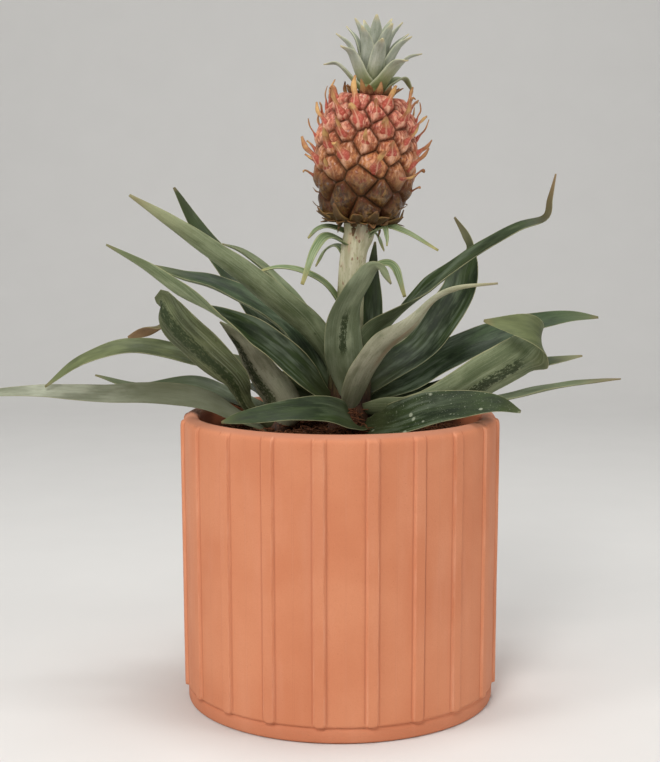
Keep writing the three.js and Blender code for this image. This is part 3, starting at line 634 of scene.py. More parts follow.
def bladeSkin(guides, faces, fold, width, widthAt, stations, across,
              middle=1.4, edge=0.55, wave=0.0, seed=1):
    draw = np.random.default_rng(seed)
    share = np.linspace(0, 1, stations)
    centre, along = pathPoints(guides, stations)
    lift = between(faces, share)
    lift = unit(lift - along * np.sum(lift * along, axis=1, keepdims=True))
    side = np.cross(along, lift)
    length = np.concatenate([[0], np.cumsum(np.linalg.norm(np.diff(centre, axis=0), axis=1))])
    half = width * widthAt(share) / 2
    bend = np.radians(lerp(*fold, share))[:, None]
    u = np.sin(np.linspace(-np.pi / 2, np.pi / 2, across))[None, :]
    turn = bend * u
    phase = draw.uniform(0, 6.28, 3)
    ruffle = wave * np.abs(u) ** 3 * smoothstep(share, 0.08, 0.3)[:, None] * (
        np.sin(length[:, None] / 6.5 + phase[0] + np.sign(u) * phase[1])
        + 0.6 * np.sin(length[:, None] / 3.1 + phase[2] - np.sign(u)))
    ruffle = ruffle * np.clip(half[:, None] / (width / 2), 0, 1)
    sideways = (half[:, None] * np.sin(turn) / bend)[..., None]
    upward = (half[:, None] * (1 - np.cos(turn)) / bend + ruffle)[..., None]
    skin = centre[:, None] + side[:, None] * sideways + lift[:, None] * upward
    normal = lift[:, None] * np.cos(turn)[..., None] - side[:, None] * np.sin(turn)[..., None]
    thick = lerp(middle, edge, u ** 2) * np.clip(np.sqrt(1 - np.abs(u) ** 8), 0.3, 1) / 2
    thick = thick * (1 - 0.5 * smoothstep(share, 0.8, 1))[:, None]
    upper = skin + normal * thick[..., None]
    lower = (skin - normal * thick[..., None])[:, ::-1]
    points = np.concatenate([upper, lower], axis=1).reshape(-1, 3)
    ring = 2 * across
    quads = gridFaces(stations, ring)
    last = (stations - 1) * ring
    for j in range(across - 1):
        patch = [j, j + 1, ring - 2 - j, ring - 1 - j]
        quads.append(patch[::-1])
        quads.append([last + corner for corner in patch])
    uRow = np.concatenate([u[0], u[0][::-1]])
    attributes = {
        "across": np.tile(uRow, stations),
        "along": np.repeat(share, ring),
        "sideways": (half[:, None] * uRow[None, :]).ravel(),
        "lengthways": np.repeat(length, ring),
        "underside": np.tile(np.concatenate([np.zeros(across), np.ones(across)]), stations),
    }
    return points, quads, attributes


# Leaf finish: dark and smooth above, scaly grey-green below, with a pale margin that is partly painted rim
# light, and a dry tip

leafTones = {
    "deep": ((18, 32, 8), (46, 62, 24)),
    "blue": ((24, 40, 16), (66, 84, 54)),
    "olive": ((44, 52, 24), (78, 86, 46)),
    "silver": ((84, 96, 64), (132, 142, 108)),
    "grey": ((72, 84, 54), (108, 118, 86)),
    "pale": ((104, 114, 84), (154, 162, 132)),
    "ash": ((116, 120, 100), (168, 172, 152)),
    "dim": ((54, 60, 34), (92, 98, 64)),
    "beige": ((122, 122, 98), (178, 176, 152)),
    "lime": ((70, 78, 48), (108, 116, 76)),
    "straw": ((134, 132, 92), (166, 162, 122)),
    "brown": ((88, 66, 42), (136, 112, 80)),
}


def leafFinish(name, look):
    paint = Finish(name)
    across, along, sideways, lengthways, under = paint.attributes(*bladeKeys)
    seed = look["seed"] * 13.7
    veins = paint.drawnOut(2.2, 0.03, seed, 2, 0.6)
    fine = paint.drawnOut(5.0, 0.12, seed + 3, 2, 0.6)
    streak = paint.drawnOut(0.4, 0.03, seed + 7, 3, 0.6)
    patch = paint.drawnOut(0.16, 0.045, seed + 11, 3, 0.6)
    blotch = paint.drawnOut(0.6, 0.13, seed + 13, 4, 0.65)
    grain = paint.drawnOut(1.9, 1.4, seed + 17, 3, 0.7)

    dark, light = leafTones[look["upper"]]
    sheen = along.step(0.05, 0.2) * along.step(0.75, 0.4) * streak.step(0.42, 0.62) * patch.step(0.35, 0.6)
    upper = paint.layered(
        paint.mix(patch.step(0.36, 0.66), dark, light),
        (streak.step(0.4, 0.75) * 0.4, light),
        (veins.step(0.5, 0.75) * 0.3, light),
        (veins.step(0.5, 0.3) * 0.3, dark),
        (blotch.step(0.55, 0.75) * 0.28, (96, 106, 76)),
        (blotch.step(0.42, 0.28) * 0.4, dark),
        (sheen * look["sheen"], (146, 158, 140)))
    dark, light = leafTones[look["under"]]
    below = paint.layered(
        paint.mix(patch.step(0.34, 0.64), dark, light),
        (streak.step(0.4, 0.7) * 0.35, light),
        (veins.step(0.48, 0.7) * 0.35, (160, 168, 138)),
        (veins.step(0.48, 0.3) * 0.3, dark),
        (fine.step(0.5, 0.7) * 0.3, dark),
        (blotch.step(0.5, 0.72) * 0.35, (92, 104, 66)),
        (grain.step(0.56, 0.7) * 0.4, (74, 86, 52)),
        (grain.step(0.4, 0.28) * 0.3, (156, 162, 132)))
    layers = []

    if "algae" in look:  # green film in the gutter, between two places along the leaf
        start, end, where, wide = look["algae"]
        film = (across - where) * (across - where)
        blot = paint.drawnOut(1.2, 0.5, seed + 23, 5, 0.8)
        mask = (blot + film.step(wide, 0.0) * 0.2).step(0.58, 0.68) * film.step(wide * 1.3, wide * 0.4)
        mask = mask * along.step(start, start + 0.06) * along.step(end, end - 0.08)
        layers.append((mask * 0.9, (32, 46, 12)))
    if "specks" in look:
        for density, size, share in ((0.5, 0.16, 0.6), (1.3, 0.24, 0.5), (0.13, 0.2, 0.8)):
            dots = paint.cells(paint.point(sideways, lengthways, seed + density), density)
            mask = (dots - blotch * size).step(0.05, -0.02) * look["specks"] * share
            layers.append((mask, (186, 192, 168)))
    if "spots" in look:  # small dark marks of old damage
        dots = paint.cells(paint.point(sideways, lengthways * 0.8, seed + 31), 0.16)
        mask = dots.step(0.12, 0.07) * blotch.step(0.5, 0.6) * look["spots"]
        layers.append((mask, (34, 38, 22)))
    if "shaded" in look:  # painted shade on one half of the blade
        mask = across.step(-0.15, 0.55) * look["shaded"] * along.step(0.1, 0.25) * along.step(0.85, 0.6)
        layers.append((mask, (44, 54, 30)))
    if "dry" in look:  # a brown streak along one side
        away = across - look["dry"]
        mask = (away * away).step(0.1, 0.01) * streak.step(0.4, 0.6) * along.step(0.25, 0.4)
        layers.append((mask * 0.6, (128, 92, 62)))

    yellow = along.step(look["tipFrom"] - 0.16, look["tipFrom"] + 0.06)
    tip = (along + (patch - 0.5) * 0.05).step(look["tipFrom"] + 0.02, 0.995)
    # darker towards the leaf's base: painted shade
    near, far, share = look["foot"]
    colour = paint.layered(
        paint.mix(under, upper, below), *layers,
        # pale edge line: partly the leaf's own margin, partly painted rim light
        (abs(across).step(0.95, 0.985) * look["rim"] * veins.step(0.2, 0.6), leafTones["straw"][1]),
        (yellow * 0.45, leafTones[look["tip"]][1]),
        (tip * look["dryTip"], leafTones["brown"][1]),
        (lengthways.step(far, near) * share, (74, 78, 48)))
    roughness = 0.4 + patch * 0.25 + under * 0.12 + tip * 0.15
    height = veins * 0.7 + fine * 0.25 + grain * 0.2 * under
    return paint.surface(colour, roughness, height, 0.2, 0.3)


# Leaves: root is the level on the stem, path the middle line, faces where the upper side looks

leafGroups = {
    "main": {"centre": (4.0, 0.0), "radius": 9.5},
    "shoot": {"centre": (-27.0, -2.0), "radius": 4.6},
}

# Algae: from and to along the leaf, where across it and how wide; foot, painted shade towards the base:
# near, far and share
usualLeaf = {  # what a leaf has where its own entry says nothing else
    "group": "main", "fold": (50, 35), "taper": 2.6, "wave": 0.32, "stations": 64, "columns": 15,
    "upper": "deep", "under": "silver", "tip": "lime", "tipFrom": 0.92, "dryTip": 0.35, "rim": 0.62,
    "sheen": 0.3, "foot": (6, 30, 0.5),
}

leaves = {
    "leaf_left_front_high": {
        "root": 138, "width": 20, "tip": "straw", "tipFrom": 0.9, "spots": 0.4,
        "faces": [(0.7, 0.3, 0.6), (0.35, 0.8, 0.4), (0.35, 0.8, 0.4)],
        "path": [(-5, -3, 148), (-12, -9, 160), (-21, -16, 170), (-41, -31, 188), (-64, -44, 206),
                 (-84, -49, 220)]},
    "leaf_back_upright": {
        "root": 139, "width": 14, "fold": (50, 40), "under": "grey", "tip": "olive", "tipFrom": 0.94,
        "path": [(12, 9, 146), (14, 14, 156), (15, 20, 170), (15, 26, 185), (16, 30, 200)]},
    "leaf_left_inner": {
        "root": 136, "width": 15, "upper": "silver", "tipFrom": 0.9,
        "faces": [(0.6, -0.5, 0.6), (0.5, -0.2, 0.85), (0.5, -0.2, 0.85)],
        "path": [(-3, 8, 140), (-11, 18, 158), (-26, 27, 179), (-43, 33, 194), (-54, 35, 199)]},
    "leaf_right_long": {
        "root": 136, "width": 17, "fold": (50, 25), "tip": "brown", "tipFrom": 0.86, "dryTip": 0.7,
        "shaded": 0.5,
        "widths": [0.5, 0.8, 1, 1, 0.75, 0.48, 0.42, 0.32, 0.2, 0.17, 0.05],
        "faces": [(-0.6, 0.5, 0.5), (-0.5, 0.6, 0.6), (-0.4, -0.4, 0.7), (-0.4, -0.6, 0.6),
                  (-0.3, -0.7, 0.6), (-0.9, -0.5, 0.1)],
        "path": [(9, -8, 149), (16, -12, 161), (26, -17, 171), (38, -21, 182), (49, -24, 191),
                 (60, -26, 199), (74, -28, 207), (85, -28, 211), (87, -28, 219), (89, -28, 229)]},
    "leaf_front_upright": {
        "root": 131, "width": 19, "fold": (45, 30), "under": "pale", "algae": (0.3, 0.56, 0.1, 0.06),
        "shaded": 0.5,
        "path": [(4, -12, 140), (2, -18, 154), (3, -23, 170), (9, -28, 183), (15, -32, 191),
                 (21, -35, 184)]},
    "leaf_left_dark": {
        "root": 132, "width": 21, "fold": (50, 50), "upper": "blue",
        "faces": [(0.6, -0.4, 0.7), (0.2, -0.45, 0.9), (0.1, -0.45, 0.9)],
        "path": [(-8, 0, 140), (-15, 2, 152), (-24, 4, 163), (-37, 5, 172), (-55, 6, 181), (-70, 7, 185),
                 (-83, 7, 190)]},
    "leaf_right_back_high": {
        "root": 132, "width": 20, "under": "grey", "tip": "straw", "tipFrom": 0.86,
        "widths": [0.5, 0.85, 1, 1, 0.95, 0.8, 0.25, 0.2, 0.06],
        "faces": [(-0.6, -0.6, 0.6), (-0.4, -0.85, 0.4), (-0.7, -0.7, 0.1)],
        "path": [(15, 8, 136), (25, 15, 143), (39, 23, 153), (54, 32, 174), (58, 38, 186), (61, 44, 196),
                 (59, 49, 203), (54, 54, 211)]},
    "leaf_right_narrow": {
        "root": 128, "width": 15, "fold": (50, 30), "under": "beige", "tip": "straw", "tipFrom": 0.88,
        "dry": -0.3,
        "widths": [0.5, 0.95, 1, 0.85, 0.3, 0.2, 0.08],
        "faces": [(-0.5, 0.7, 0.5), (-0.4, 0.8, 0.5), (0, 0.6, 0.8)],
        "path": [(7, -13, 135), (11, -20, 146), (19, -30, 158), (29, -38, 167), (38, -44, 178),
                 (48, -48, 183), (63, -52, 185)]},
    "leaf_left_back_high": {
        "root": 130, "width": 20, "under": "grey", "tip": "olive", "tipFrom": 0.95,
        "faces": [(0.6, -0.5, 0.6), (0.4, -0.85, 0.4), (0.4, -0.85, 0.4)],
        "path": [(-9, 10, 137), (-23, 21, 150), (-36, 32, 166), (-52, 46, 186), (-67, 56, 205),
                 (-79, 62, 225)]},
    "leaf_left_twisted": {
        "root": 129, "width": 17, "fold": (45, 30), "tipFrom": 0.93, "rim": 1.0,
        "faces": [(0.6, -0.5, 0.6), (0.4, -0.8, 0.5), (0.3, -0.8, 0.6), (0.2, 0.7, 0.7), (0.2, 0.7, 0.7)],
        "path": [(-10, -10, 137), (-17, -14, 145), (-26, -19, 154), (-37, -26, 163), (-52, -33, 172),
                 (-66, -35, 181), (-80, -35, 191), (-96, -34, 200)]},
    "leaf_back_centre": {
        "root": 128, "width": 15, "under": "grey", "tip": "straw",
        "path": [(4, 16, 138), (4, 34, 150), (6, 60, 158), (8, 88, 156)]},
    "leaf_right_folded": {
        "root": 126, "width": 25, "fold": (45, 25), "upper": "lime", "tipFrom": 0.95,
        "algae": (0.3, 0.64, -0.1, 0.12), "spots": 0.7,
        "widths": [0.5, 0.7, 0.8, 0.9, 0.98, 0.94, 0.78, 0.7, 0.5, 0.05],
        "faces": [(-0.5, 0.6, 0.6), (-0.3, 0.85, 0.45), (-0.3, 0.85, 0.45), (0.9, -0.2, 0.3),
                  (0.1, -1, 0.3)],
        "path": [(19, -8, 126), (31, -13, 126), (46, -19, 132), (62, -24, 143), (73, -27, 150),
                 (80, -28, 155), (83, -32, 160), (76, -37, 166), (59, -38, 169)]},
    "leaf_back_left": {
        "root": 126, "width": 15, "under": "grey",
        "path": [(-5, 14, 133), (-19, 34, 145), (-34, 60, 154), (-49, 82, 157)]},
    "leaf_back_right": {
        "root": 126, "width": 15, "upper": "blue", "under": "grey", "tip": "brown", "tipFrom": 0.9,
        "path": [(12, 14, 132), (24, 36, 143), (38, 62, 146), (48, 84, 138)]},
    "leaf_right_back": {
        "root": 125, "width": 18, "fold": (50, 30), "taper": 3, "upper": "blue", "under": "grey",
        "tipFrom": 0.93,
        "faces": [(-0.5, -0.6, 0.6), (-0.2, -0.85, 0.5), (-0.1, -0.7, 0.7)],
        "path": [(17, 6, 132), (31, 15, 137), (49, 27, 147), (68, 37, 155), (84, 44, 160), (107, 50, 164),
                 (122, 50, 164)]},
    "leaf_left_arched": {
        "root": 123, "width": 16, "fold": (50, 30), "upper": "lime", "tipFrom": 0.93, "spots": 0.5,
        "faces": [(0.6, -0.4, 0.7), (0.1, -0.55, 0.85), (0, -0.6, 0.8)],
        "path": [(-10, 4, 130), (-40, 8, 142), (-67, 8, 149), (-92, 2, 154), (-112, -4, 149),
                 (-128, -8, 138)]},
    "leaf_right_level": {
        "root": 122, "width": 14, "fold": (50, 30), "under": "grey", "tip": "straw", "tipFrom": 0.94,
        "faces": [(-0.5, -0.4, 0.7), (-0.1, -0.6, 0.8)],
        "path": [(18, 2, 124), (40, 12, 132), (73, 22, 142), (94, 26, 145), (111, 28, 148)]},
    "leaf_back_low": {
        "root": 121, "width": 14, "upper": "olive", "under": "grey", "tip": "straw", "tipFrom": 0.88,
        "path": [(8, 14, 125), (14, 36, 132), (20, 62, 135), (26, 86, 131)]},
    "leaf_right_thin": {
        "root": 120, "width": 7, "fold": (45, 30), "upper": "grey", "under": "grey", "tip": "brown",
        "tipFrom": 0.86,
        "faces": [(-0.5, -0.2, 0.8), (0, -0.45, 0.9)],
        "path": [(18, -4, 121), (48, -8, 128), (74, -11, 134), (95, -12, 139), (110, -12, 141),
                 (121, -12, 142)]},
    "leaf_front_right_low": {
        "root": 120, "width": 20.5, "fold": (35, 20), "tipFrom": 0.96, "specks": 0.7,
        "faces": [(-0.5, -0.3, 0.8), (-0.1, -0.8, 0.6), (0, -0.75, 0.65)],
        "path": [(14, -12, 121), (23, -20, 124), (36, -27, 130), (51, -32, 133), (65, -35, 134),
                 (75, -36, 131)]},
    "leaf_front_left_low": {
        "root": 120, "width": 16, "fold": (35, 20), "tipFrom": 0.95, "sheen": 0.12,
        "faces": [(0.2, -0.3, 0.9), (0.1, -0.8, 0.6), (0.1, -0.75, 0.65)],
        "path": [(6, -14, 122), (3, -20, 126), (-5, -26, 130), (-20, -34, 131), (-39, -39, 129),
                 (-49, -39, 127)]},
    "leaf_right_inner_low": {
        "root": 119, "width": 10, "fold": (40, 25), "upper": "grey", "under": "grey", "tip": "straw",
        "tipFrom": 0.9,
        "path": [(17, 6, 120), (30, 20, 122), (42, 28, 121), (52, 31, 120)]},
    "leaf_shoot_pointed": {
        "group": "shoot", "root": 121, "width": 18, "fold": (45, 30), "upper": "olive", "under": "beige",
        "tipFrom": 0.95, "algae": (0.03, 0.9, 0.4, 0.2),
        "widths": [0.7, 1, 1, 0.95, 0.8, 0.6, 0.36, 0.05],
        "faces": [(0.2, 0.9, 0.3), (0.3, 0.9, 0.3), (0.5, 0.8, 0.3)],
        "path": [(-25, -8, 127), (-27, -10, 134), (-32, -11, 141), (-37, -13, 149), (-41, -15, 156),
                 (-46, -16, 162), (-51, -17, 167)]},
    "leaf_shoot_broad": {
        "group": "shoot", "root": 119, "width": 20, "fold": (40, 20), "upper": "brown", "under": "dim",
        "tip": "brown", "tipFrom": 0.8, "algae": (0.04, 0.7, 0.05, 0.17), "spots": 0.6,
        "widths": [0.3, 0.35, 0.5, 0.85, 1, 1, 0.85, 0.6, 0.5, 0.45, 0.35, 0.05],
        "faces": [(0.4, 0.85, 0.3), (0.4, 0.85, 0.3), (0.4, 0.85, 0.3), (0.4, 0.85, 0.3),
                  (0.3, 0.1, -0.9), (0.2, -0.95, -0.25)],
        "path": [(-40, -10, 129), (-43, -13, 135), (-47, -18, 143), (-59, -22, 155), (-68, -24, 164),
                 (-73, -23, 171), (-75, -19, 175), (-73, -14, 170), (-77, -12, 165), (-83, -12, 163),
                 (-91, -12, 160)]},
    "leaf_shoot_level": {
        "group": "shoot", "root": 120, "width": 15, "fold": (45, 30), "taper": 2, "upper": "grey",
        "faces": [(0.5, -0.3, 0.8), (0, -0.55, 0.85)],
        "path": [(-32, 4, 123), (-49, 14, 130), (-68, 20, 136), (-91, 22, 134), (-111, 20, 140)]},
    "leaf_shoot_back": {
        "group": "shoot", "root": 119, "width": 11, "fold": (45, 30), "under": "grey", "tip": "straw",
        "tipFrom": 0.9,
        "path": [(-26, 9, 122), (-34, 26, 130), (-46, 48, 132), (-58, 66, 127)]},
    "leaf_shoot_low": {
        "group": "shoot", "root": 118, "width": 12, "fold": (45, 30), "taper": 2.2, "upper": "ash",
        "tipFrom": 0.93, "spots": 0.3, "sheen": 0, "foot": (50, 108, 0.8),
        "faces": [(0.3, -0.6, 0.7), (0.1, -0.9, 0.4), (0, -0.9, 0.4), (0, -0.95, 0.3)],
        "path": [(-46, -1, 124), (-58, 1, 130), (-72, 2, 133), (-87, 1, 134), (-102, -2, 134),
                 (-117, -4, 135), (-132, -6, 136), (-151, -6, 135), (-163, -6, 132)]},
}


def unevenWidth(widths, share):  # shares of the width, evenly spread from base to tip
    table = np.array([[0, 0, width] for width in widths])
    return pathPoints(table, len(share))[0][:, 2]


def makeLeaf(name, leaf):
    group = leafGroups[leaf["group"]]
    centre = np.array([*group["centre"], 0.0])
    path = np.array(leaf["path"], float)
    outward, reach = (unit((end - centre) * [1, 1, 0]) for end in (path[0], path[-1]))
    root = centre + outward * (group["radius"] - 1.5) + up * leaf["root"]
    faces = leaf.get("faces", [up - 0.9 * outward, up - 0.6 * reach, up - 0.6 * reach])

    def widthAt(share):
        if "widths" in leaf:
            return unevenWidth(leaf["widths"], share)
        return leafWidth(share, leaf["taper"])

    points, quads, attributes = bladeSkin(
        [root, *path], faces, leaf["fold"], leaf["width"], widthAt, leaf["stations"], leaf["columns"],
        wave=leaf["wave"], seed=leaf["seed"])
    piece = makePiece(name.replace("leaf_", "blade_"), points, quads, [leafFinish(name, leaf)], attributes)
    settle(piece, "leaf", name)


for number, (name, leaf) in enumerate(leaves.items()):
    makeLeaf(name, {**usualLeaf, **leaf, "seed": number + 1})
print("leaves made:", len(leaves))


# Stems: the pale stalk with its thin leaves, and the short side stem

stem = {
    "guides": [(4, 0, 90), (4, 0, 126), (4.2, 0, 160), (5, 0, 186), (6.3, 0, 198), (8.1, 0, 204.2),
               (8.5, 0, 208.2)],
    "radius": 9.5, "stalkRadius": 5.8, "topRadius": 7.0, "shoulder": 138, "stalkFoot": 156, "neck": 195,
    "rings": 120, "sides": 36,
    "paleTones": ((186, 180, 146), (212, 206, 178)),
    "sheathTones": ((58, 52, 30), (86, 84, 48)),
    "footTones": ((44, 28, 19), (82, 52, 34)),
    "leafTones": ((96, 118, 72), (150, 162, 124)),
}
sideStem = {
    "guides": [(-27, -2, 96), (-27, -2, 125)], "radius": 4.6, "shoulder": (119, 125),
    "rings": 24, "sides": 24,
}
stalkLeaves = [  # width and middle line of each
    (8, [(5, 0, 198), (-5, -8, 203), (-11, -14, 197), (-16, -20, 183)]),
    (8, [(2, 0, 170), (-6, -5, 182), (-16, -9, 188), (-26, -11, 190), (-35, -11, 188)]),
    (5, [(7, 0, 203), (-4, 3, 207), (-10, 4, 206), (-14, 4, 202)]),
    (7, [(8, 0, 198), (18, -4, 207), (28, -8, 205), (42, -10, 197)]),
    (4, [(7, 0, 201), (18, -8, 207), (20, -11, 203), (20, -12, 199)]),
    (8, [(8, 0, 184), (18, -5, 191), (24, -7, 189), (28, -7, 177)]),
    (6, [(7, 0, 196), (10, 10, 205), (16, 20, 204), (20, 28, 196)]),
    (6, [(6, 0, 188), (0, 10, 198), (-6, 20, 197), (-11, 28, 189)]),
]


def rodSkin(guides, radiusAt, rings, sides):
    centre, along = pathPoints(guides, rings)
    side = unit(np.cross([0, 1.0, 0], along))
    bump = [[noise.noise(Vector((math.cos(a) * 1.5, math.sin(a) * 1.5, z * 0.11))) for a in circle(sides)]
            for z in centre[:, 2]]
    radius = radiusAt(centre[:, 2])[:, None] + np.array(bump) * 0.45
    return tube(centre, side, np.cross(along, side), radius, sides)


def stalkFinish():
    paint = Finish("stalk")
    x, y, z = paint.split(paint.place())
    drift = paint.upright(0.5, 0.05, 3)
    spots = paint.cells(paint.point(x, y, z * 0.6), 0.6)
    grain = paint.upright(1.2, 0.3, 3, 0.65)
    blush = paint.upright(0.3, 0.12, 3, 0.6)
    mark = (spots - grain * 0.36).step(0.16, 0.0)
    colour = paint.layered(
        paint.mix(drift.step(0.35, 0.7), *stem["paleTones"]),
        (blush.step(0.5, 0.7) * 0.55, (196, 160, 138)),
        (grain.step(0.5, 0.7) * 0.55, (148, 152, 100)),
        (z.step(190, 176) * 0.5, (132, 142, 88)),
        (mark * blush.step(0.4, 0.6) * 0.8, (136, 90, 70)),
        ((z + (drift - 0.5) * 16).step(168, 150), paint.mix(grain.step(0.4, 0.65), *stem["sheathTones"])),
        ((z + (drift - 0.5) * 8).step(142, 132), paint.mix(grain.step(0.35, 0.65), *stem["footTones"])))
    return paint.surface(colour, 0.55 + grain * 0.2, grain, 0.4, 0.35)


def stalkLeafFinish():
    paint = Finish("stalkLeaf")
    across, along = paint.attributes("across", "along")
    lines = paint.drawnOut(1.6, 0.06, 4.0)
    colour = paint.layered(
        paint.mix(lines.step(0.35, 0.7), *stem["leafTones"]),
        (abs(across).step(0.6, 0.95) * 0.5, (176, 178, 132)),
        (along.step(0.8, 1.0) * 0.7, (176, 160, 100)))
    return paint.surface(colour, 0.5, lines, 0.2, 0.4)


def stalkRadius(height):
    rising = smoothstep(height, stem["shoulder"], stem["stalkFoot"])
    ending = smoothstep(height, stem["neck"], stem["guides"][-1][2])
    lower = lerp(stem["radius"], stem["stalkRadius"], rising)
    return lower + (stem["topRadius"] - stem["stalkRadius"]) * ending


def makeStems():
    paleFinish = stalkFinish()
    points, faces = rodSkin(stem["guides"], stalkRadius, stem["rings"], stem["sides"])
    skins = [(points, faces, noBlade(points))]
    for number, (width, guides) in enumerate(stalkLeaves):
        guides = np.array(guides, float)
        outward = unit((guides[-1] - guides[0]) * [1, 1, 0])
        inward = np.array([0, -0.6, 1]) - 0.5 * outward
        skins.append(bladeSkin(guides, [inward, inward], (35, 20), width, bractWidth, 28, 9,
                               middle=1.0, edge=0.5, wave=0.15, seed=80 + number))
    points, quads, attributes = joinSkins(skins)
    kinds = [0] * len(faces) + [1] * (len(quads) - len(faces))
    piece = makePiece("stalkAndStem", points, quads, [paleFinish, stalkLeafFinish()], attributes, kinds)
    settle(piece, "stalk", "main_stem")
    low, high = sideStem["shoulder"]
    points, faces = rodSkin(
        sideStem["guides"], lambda z: sideStem["radius"] * (1 - 0.35 * smoothstep(z, low, high)),
        sideStem["rings"], sideStem["sides"])
    settle(makePiece("sideStem", points, faces, [paleFinish]), "stalk", "side_shoot_stem")


makeStems()
print("stems made")


# Fruit and crown stand on one leaning axis and are made upright on it


fruit = {
    "seat": (8.5, 0, 208.2), "lean": 5.1,
    "foot": 0.3, "height": 54.5, "radius": 19.8, "widestAt": 0.56, "fruitlets": 70,
    "low": 0.05, "high": 0.96, "rise": 2.9, "groove": 0.8, "columns": 320, "rows": 124,
    "footRows": [(0, 0.3), (7.6, 0.3), (9.4, 0.4), (11.2, 0.9)],
    "topRows": [(11.4, -0.9), (9.4, -0.5), (6.6, -0.1), (0, 0)],  # heights from the top
    "lowTones": ((40, 22, 2), (90, 54, 10)),
    "middleTones": ((158, 84, 44), (228, 156, 100)),
    "highTones": ((170, 64, 54), (230, 144, 118)),
}
bracts = {
    "width": 5.8, "length": 9.0, "shapes": 14, "seed": 12,
    "lengths": (4.2, 8.6), "sway": ((-0.3, -0.28, -0.4), (0.22, 0.28, 0.4)),
}
fruitTop = (Matrix.Translation(Vector(fruit["seat"]) * millimetre)
            @ Matrix.Rotation(math.radians(fruit["lean"]), 4, "Y"))


def fruitProfile(level):
    low = level < fruit["widestAt"]
    away = np.abs(level - fruit["widestAt"]) / np.where(low, 0.64, 0.51)
    return fruit["radius"] * np.sqrt(np.clip(1 - away ** np.where(low, 2.25, 2.4), 0, 1))


def fruitletPlaces():  # level, middle, and three directions of each fruitlet: out, across and up
    count = fruit["fruitlets"]
    share = (np.arange(count) + 0.5) / count
    level = lerp(fruit["low"], fruit["high"], share * (1.5 - 0.5 * share))
    draw = np.random.default_rng(3)
    angle = np.arange(count) * goldenAngle + draw.uniform(-0.11, 0.11, count)
    level = level + draw.uniform(-0.015, 0.015, count)
    radial = np.stack([np.cos(angle), np.sin(angle), np.zeros_like(angle)], axis=-1)
    slope = (fruitProfile(level + 0.02) - fruitProfile(level - 0.02)) / (0.04 * fruit["height"])
    outward = unit(radial - slope[:, None] * up)
    point = radial * fruitProfile(level)[:, None]
    point[:, 2] = level * fruit["height"]
    across = unit(np.cross(up, outward))
    return level, point, outward, across, np.cross(outward, across)


def fruitFinish():
    paint = Finish("fruitSkin")
    groove, ridge, level, shade, crest = paint.attributes("groove", "ridge", "level", "shade", "crest")
    place = paint.place()
    mottle = paint.cloud(place, 0.55, 4, 0.65)
    fine = paint.cloud(place, 2.2, 3, 0.6)
    streak = paint.drawnOut(1.1, 0.3, shade * 37.0, 3, 0.6)
    low, middle, high = (paint.mix(mottle.step(0.3, 0.7), *fruit[key])
                         for key in ("lowTones", "middleTones", "highTones"))
    upper = level.step(0.28, 0.5)
    pale = paint.mix(upper, (168, 132, 82), (240, 190, 160))
    deep = paint.mix(level.step(0.35, 0.7), (70, 52, 22), (116, 66, 40))
    glossAndPaintedHighlight = level.step(0.42, 0.3) * crest.step(0.5, 0.95)
    colour = paint.layered(
        low,
        (level.step(0.24, 0.5), middle),
        (level.step(0.5, 0.82), high),
        (shade * 0.35, (104, 62, 28)),
        (streak.step(0.5, 0.62) * (0.15 + upper * 0.45), pale),
        (streak.step(0.46, 0.36) * (0.3 + upper * 0.3), (122, 48, 38)),
        (ridge * (0.15 + upper * 0.6), pale),
        (fine.step(0.58, 0.72) * (0.1 + upper * 0.2), (206, 150, 92)),
        # paler patch on the crests of the low fruitlets: painted highlight
        (glossAndPaintedHighlight * mottle.step(0.45, 0.65) * 0.35, (150, 116, 56)),
        # darker towards each fruitlet's edge: painted shade
        (crest.step(0.62, 0.15) * 0.62, (104, 58, 32)),
        # lighter crest on the upper fruitlets: painted highlight
        (crest.step(0.8, 0.98) * upper * 0.35, (246, 186, 150)),
        (groove.step(0.4, 0.95) * (0.85 - upper * 0.2), deep))
    roughness = 0.34 + mottle * 0.25 + groove * 0.3 - glossAndPaintedHighlight * 0.14
    height = mottle * 0.6 + fine * 0.3 + streak * 0.5
    return paint.surface(colour, roughness, height, 0.9, 0.3, {
        "Coat Roughness": 0.08, "Coat Weight": 0.16 + glossAndPaintedHighlight * 0.3})


def bractFinish():
    paint = Finish("fruitBract")
    along, across, level = paint.attributes("along", "across", "level")
    place = paint.place()
    mottle = paint.cloud(place, 0.9, 3, 0.6)
    drift = paint.cloud(place, 0.16, 2)
    pale = paint.mix(level.step(0.1, 0.5), (126, 96, 54), (234, 160, 138))
    end = paint.layered(
        paint.mix(level.step(0.1, 0.45), (84, 62, 34), (206, 162, 102)),
        (drift.step(0.42, 0.6) * level.step(0.15, 0.4) * 0.75, (160, 100, 66)))
    edge = paint.mix(level.step(0.1, 0.2), (158, 124, 66), (138, 78, 48))
    keel = abs(across).step(0.22, 0.04) * along.step(0.8, 0.5) * level.step(0.2, 0.5)
    colour = paint.layered(
        paint.mix(level.step(0.15, 0.6), (74, 52, 26), (184, 82, 66)),
        (mottle.step(0.45, 0.7) * 0.5, pale),
        ((along + (mottle - 0.5) * 0.4).step(0.35, 0.75), end),
        (keel * 0.5, (236, 192, 160)),
        (abs(across).step(0.62, 0.97) * 0.55, edge),
        (along.step(0.84, 1.0) * 0.55, (134, 88, 52)))
    return paint.surface(colour, 0.5 + mottle * 0.2, mottle, 0.3, 0.4)


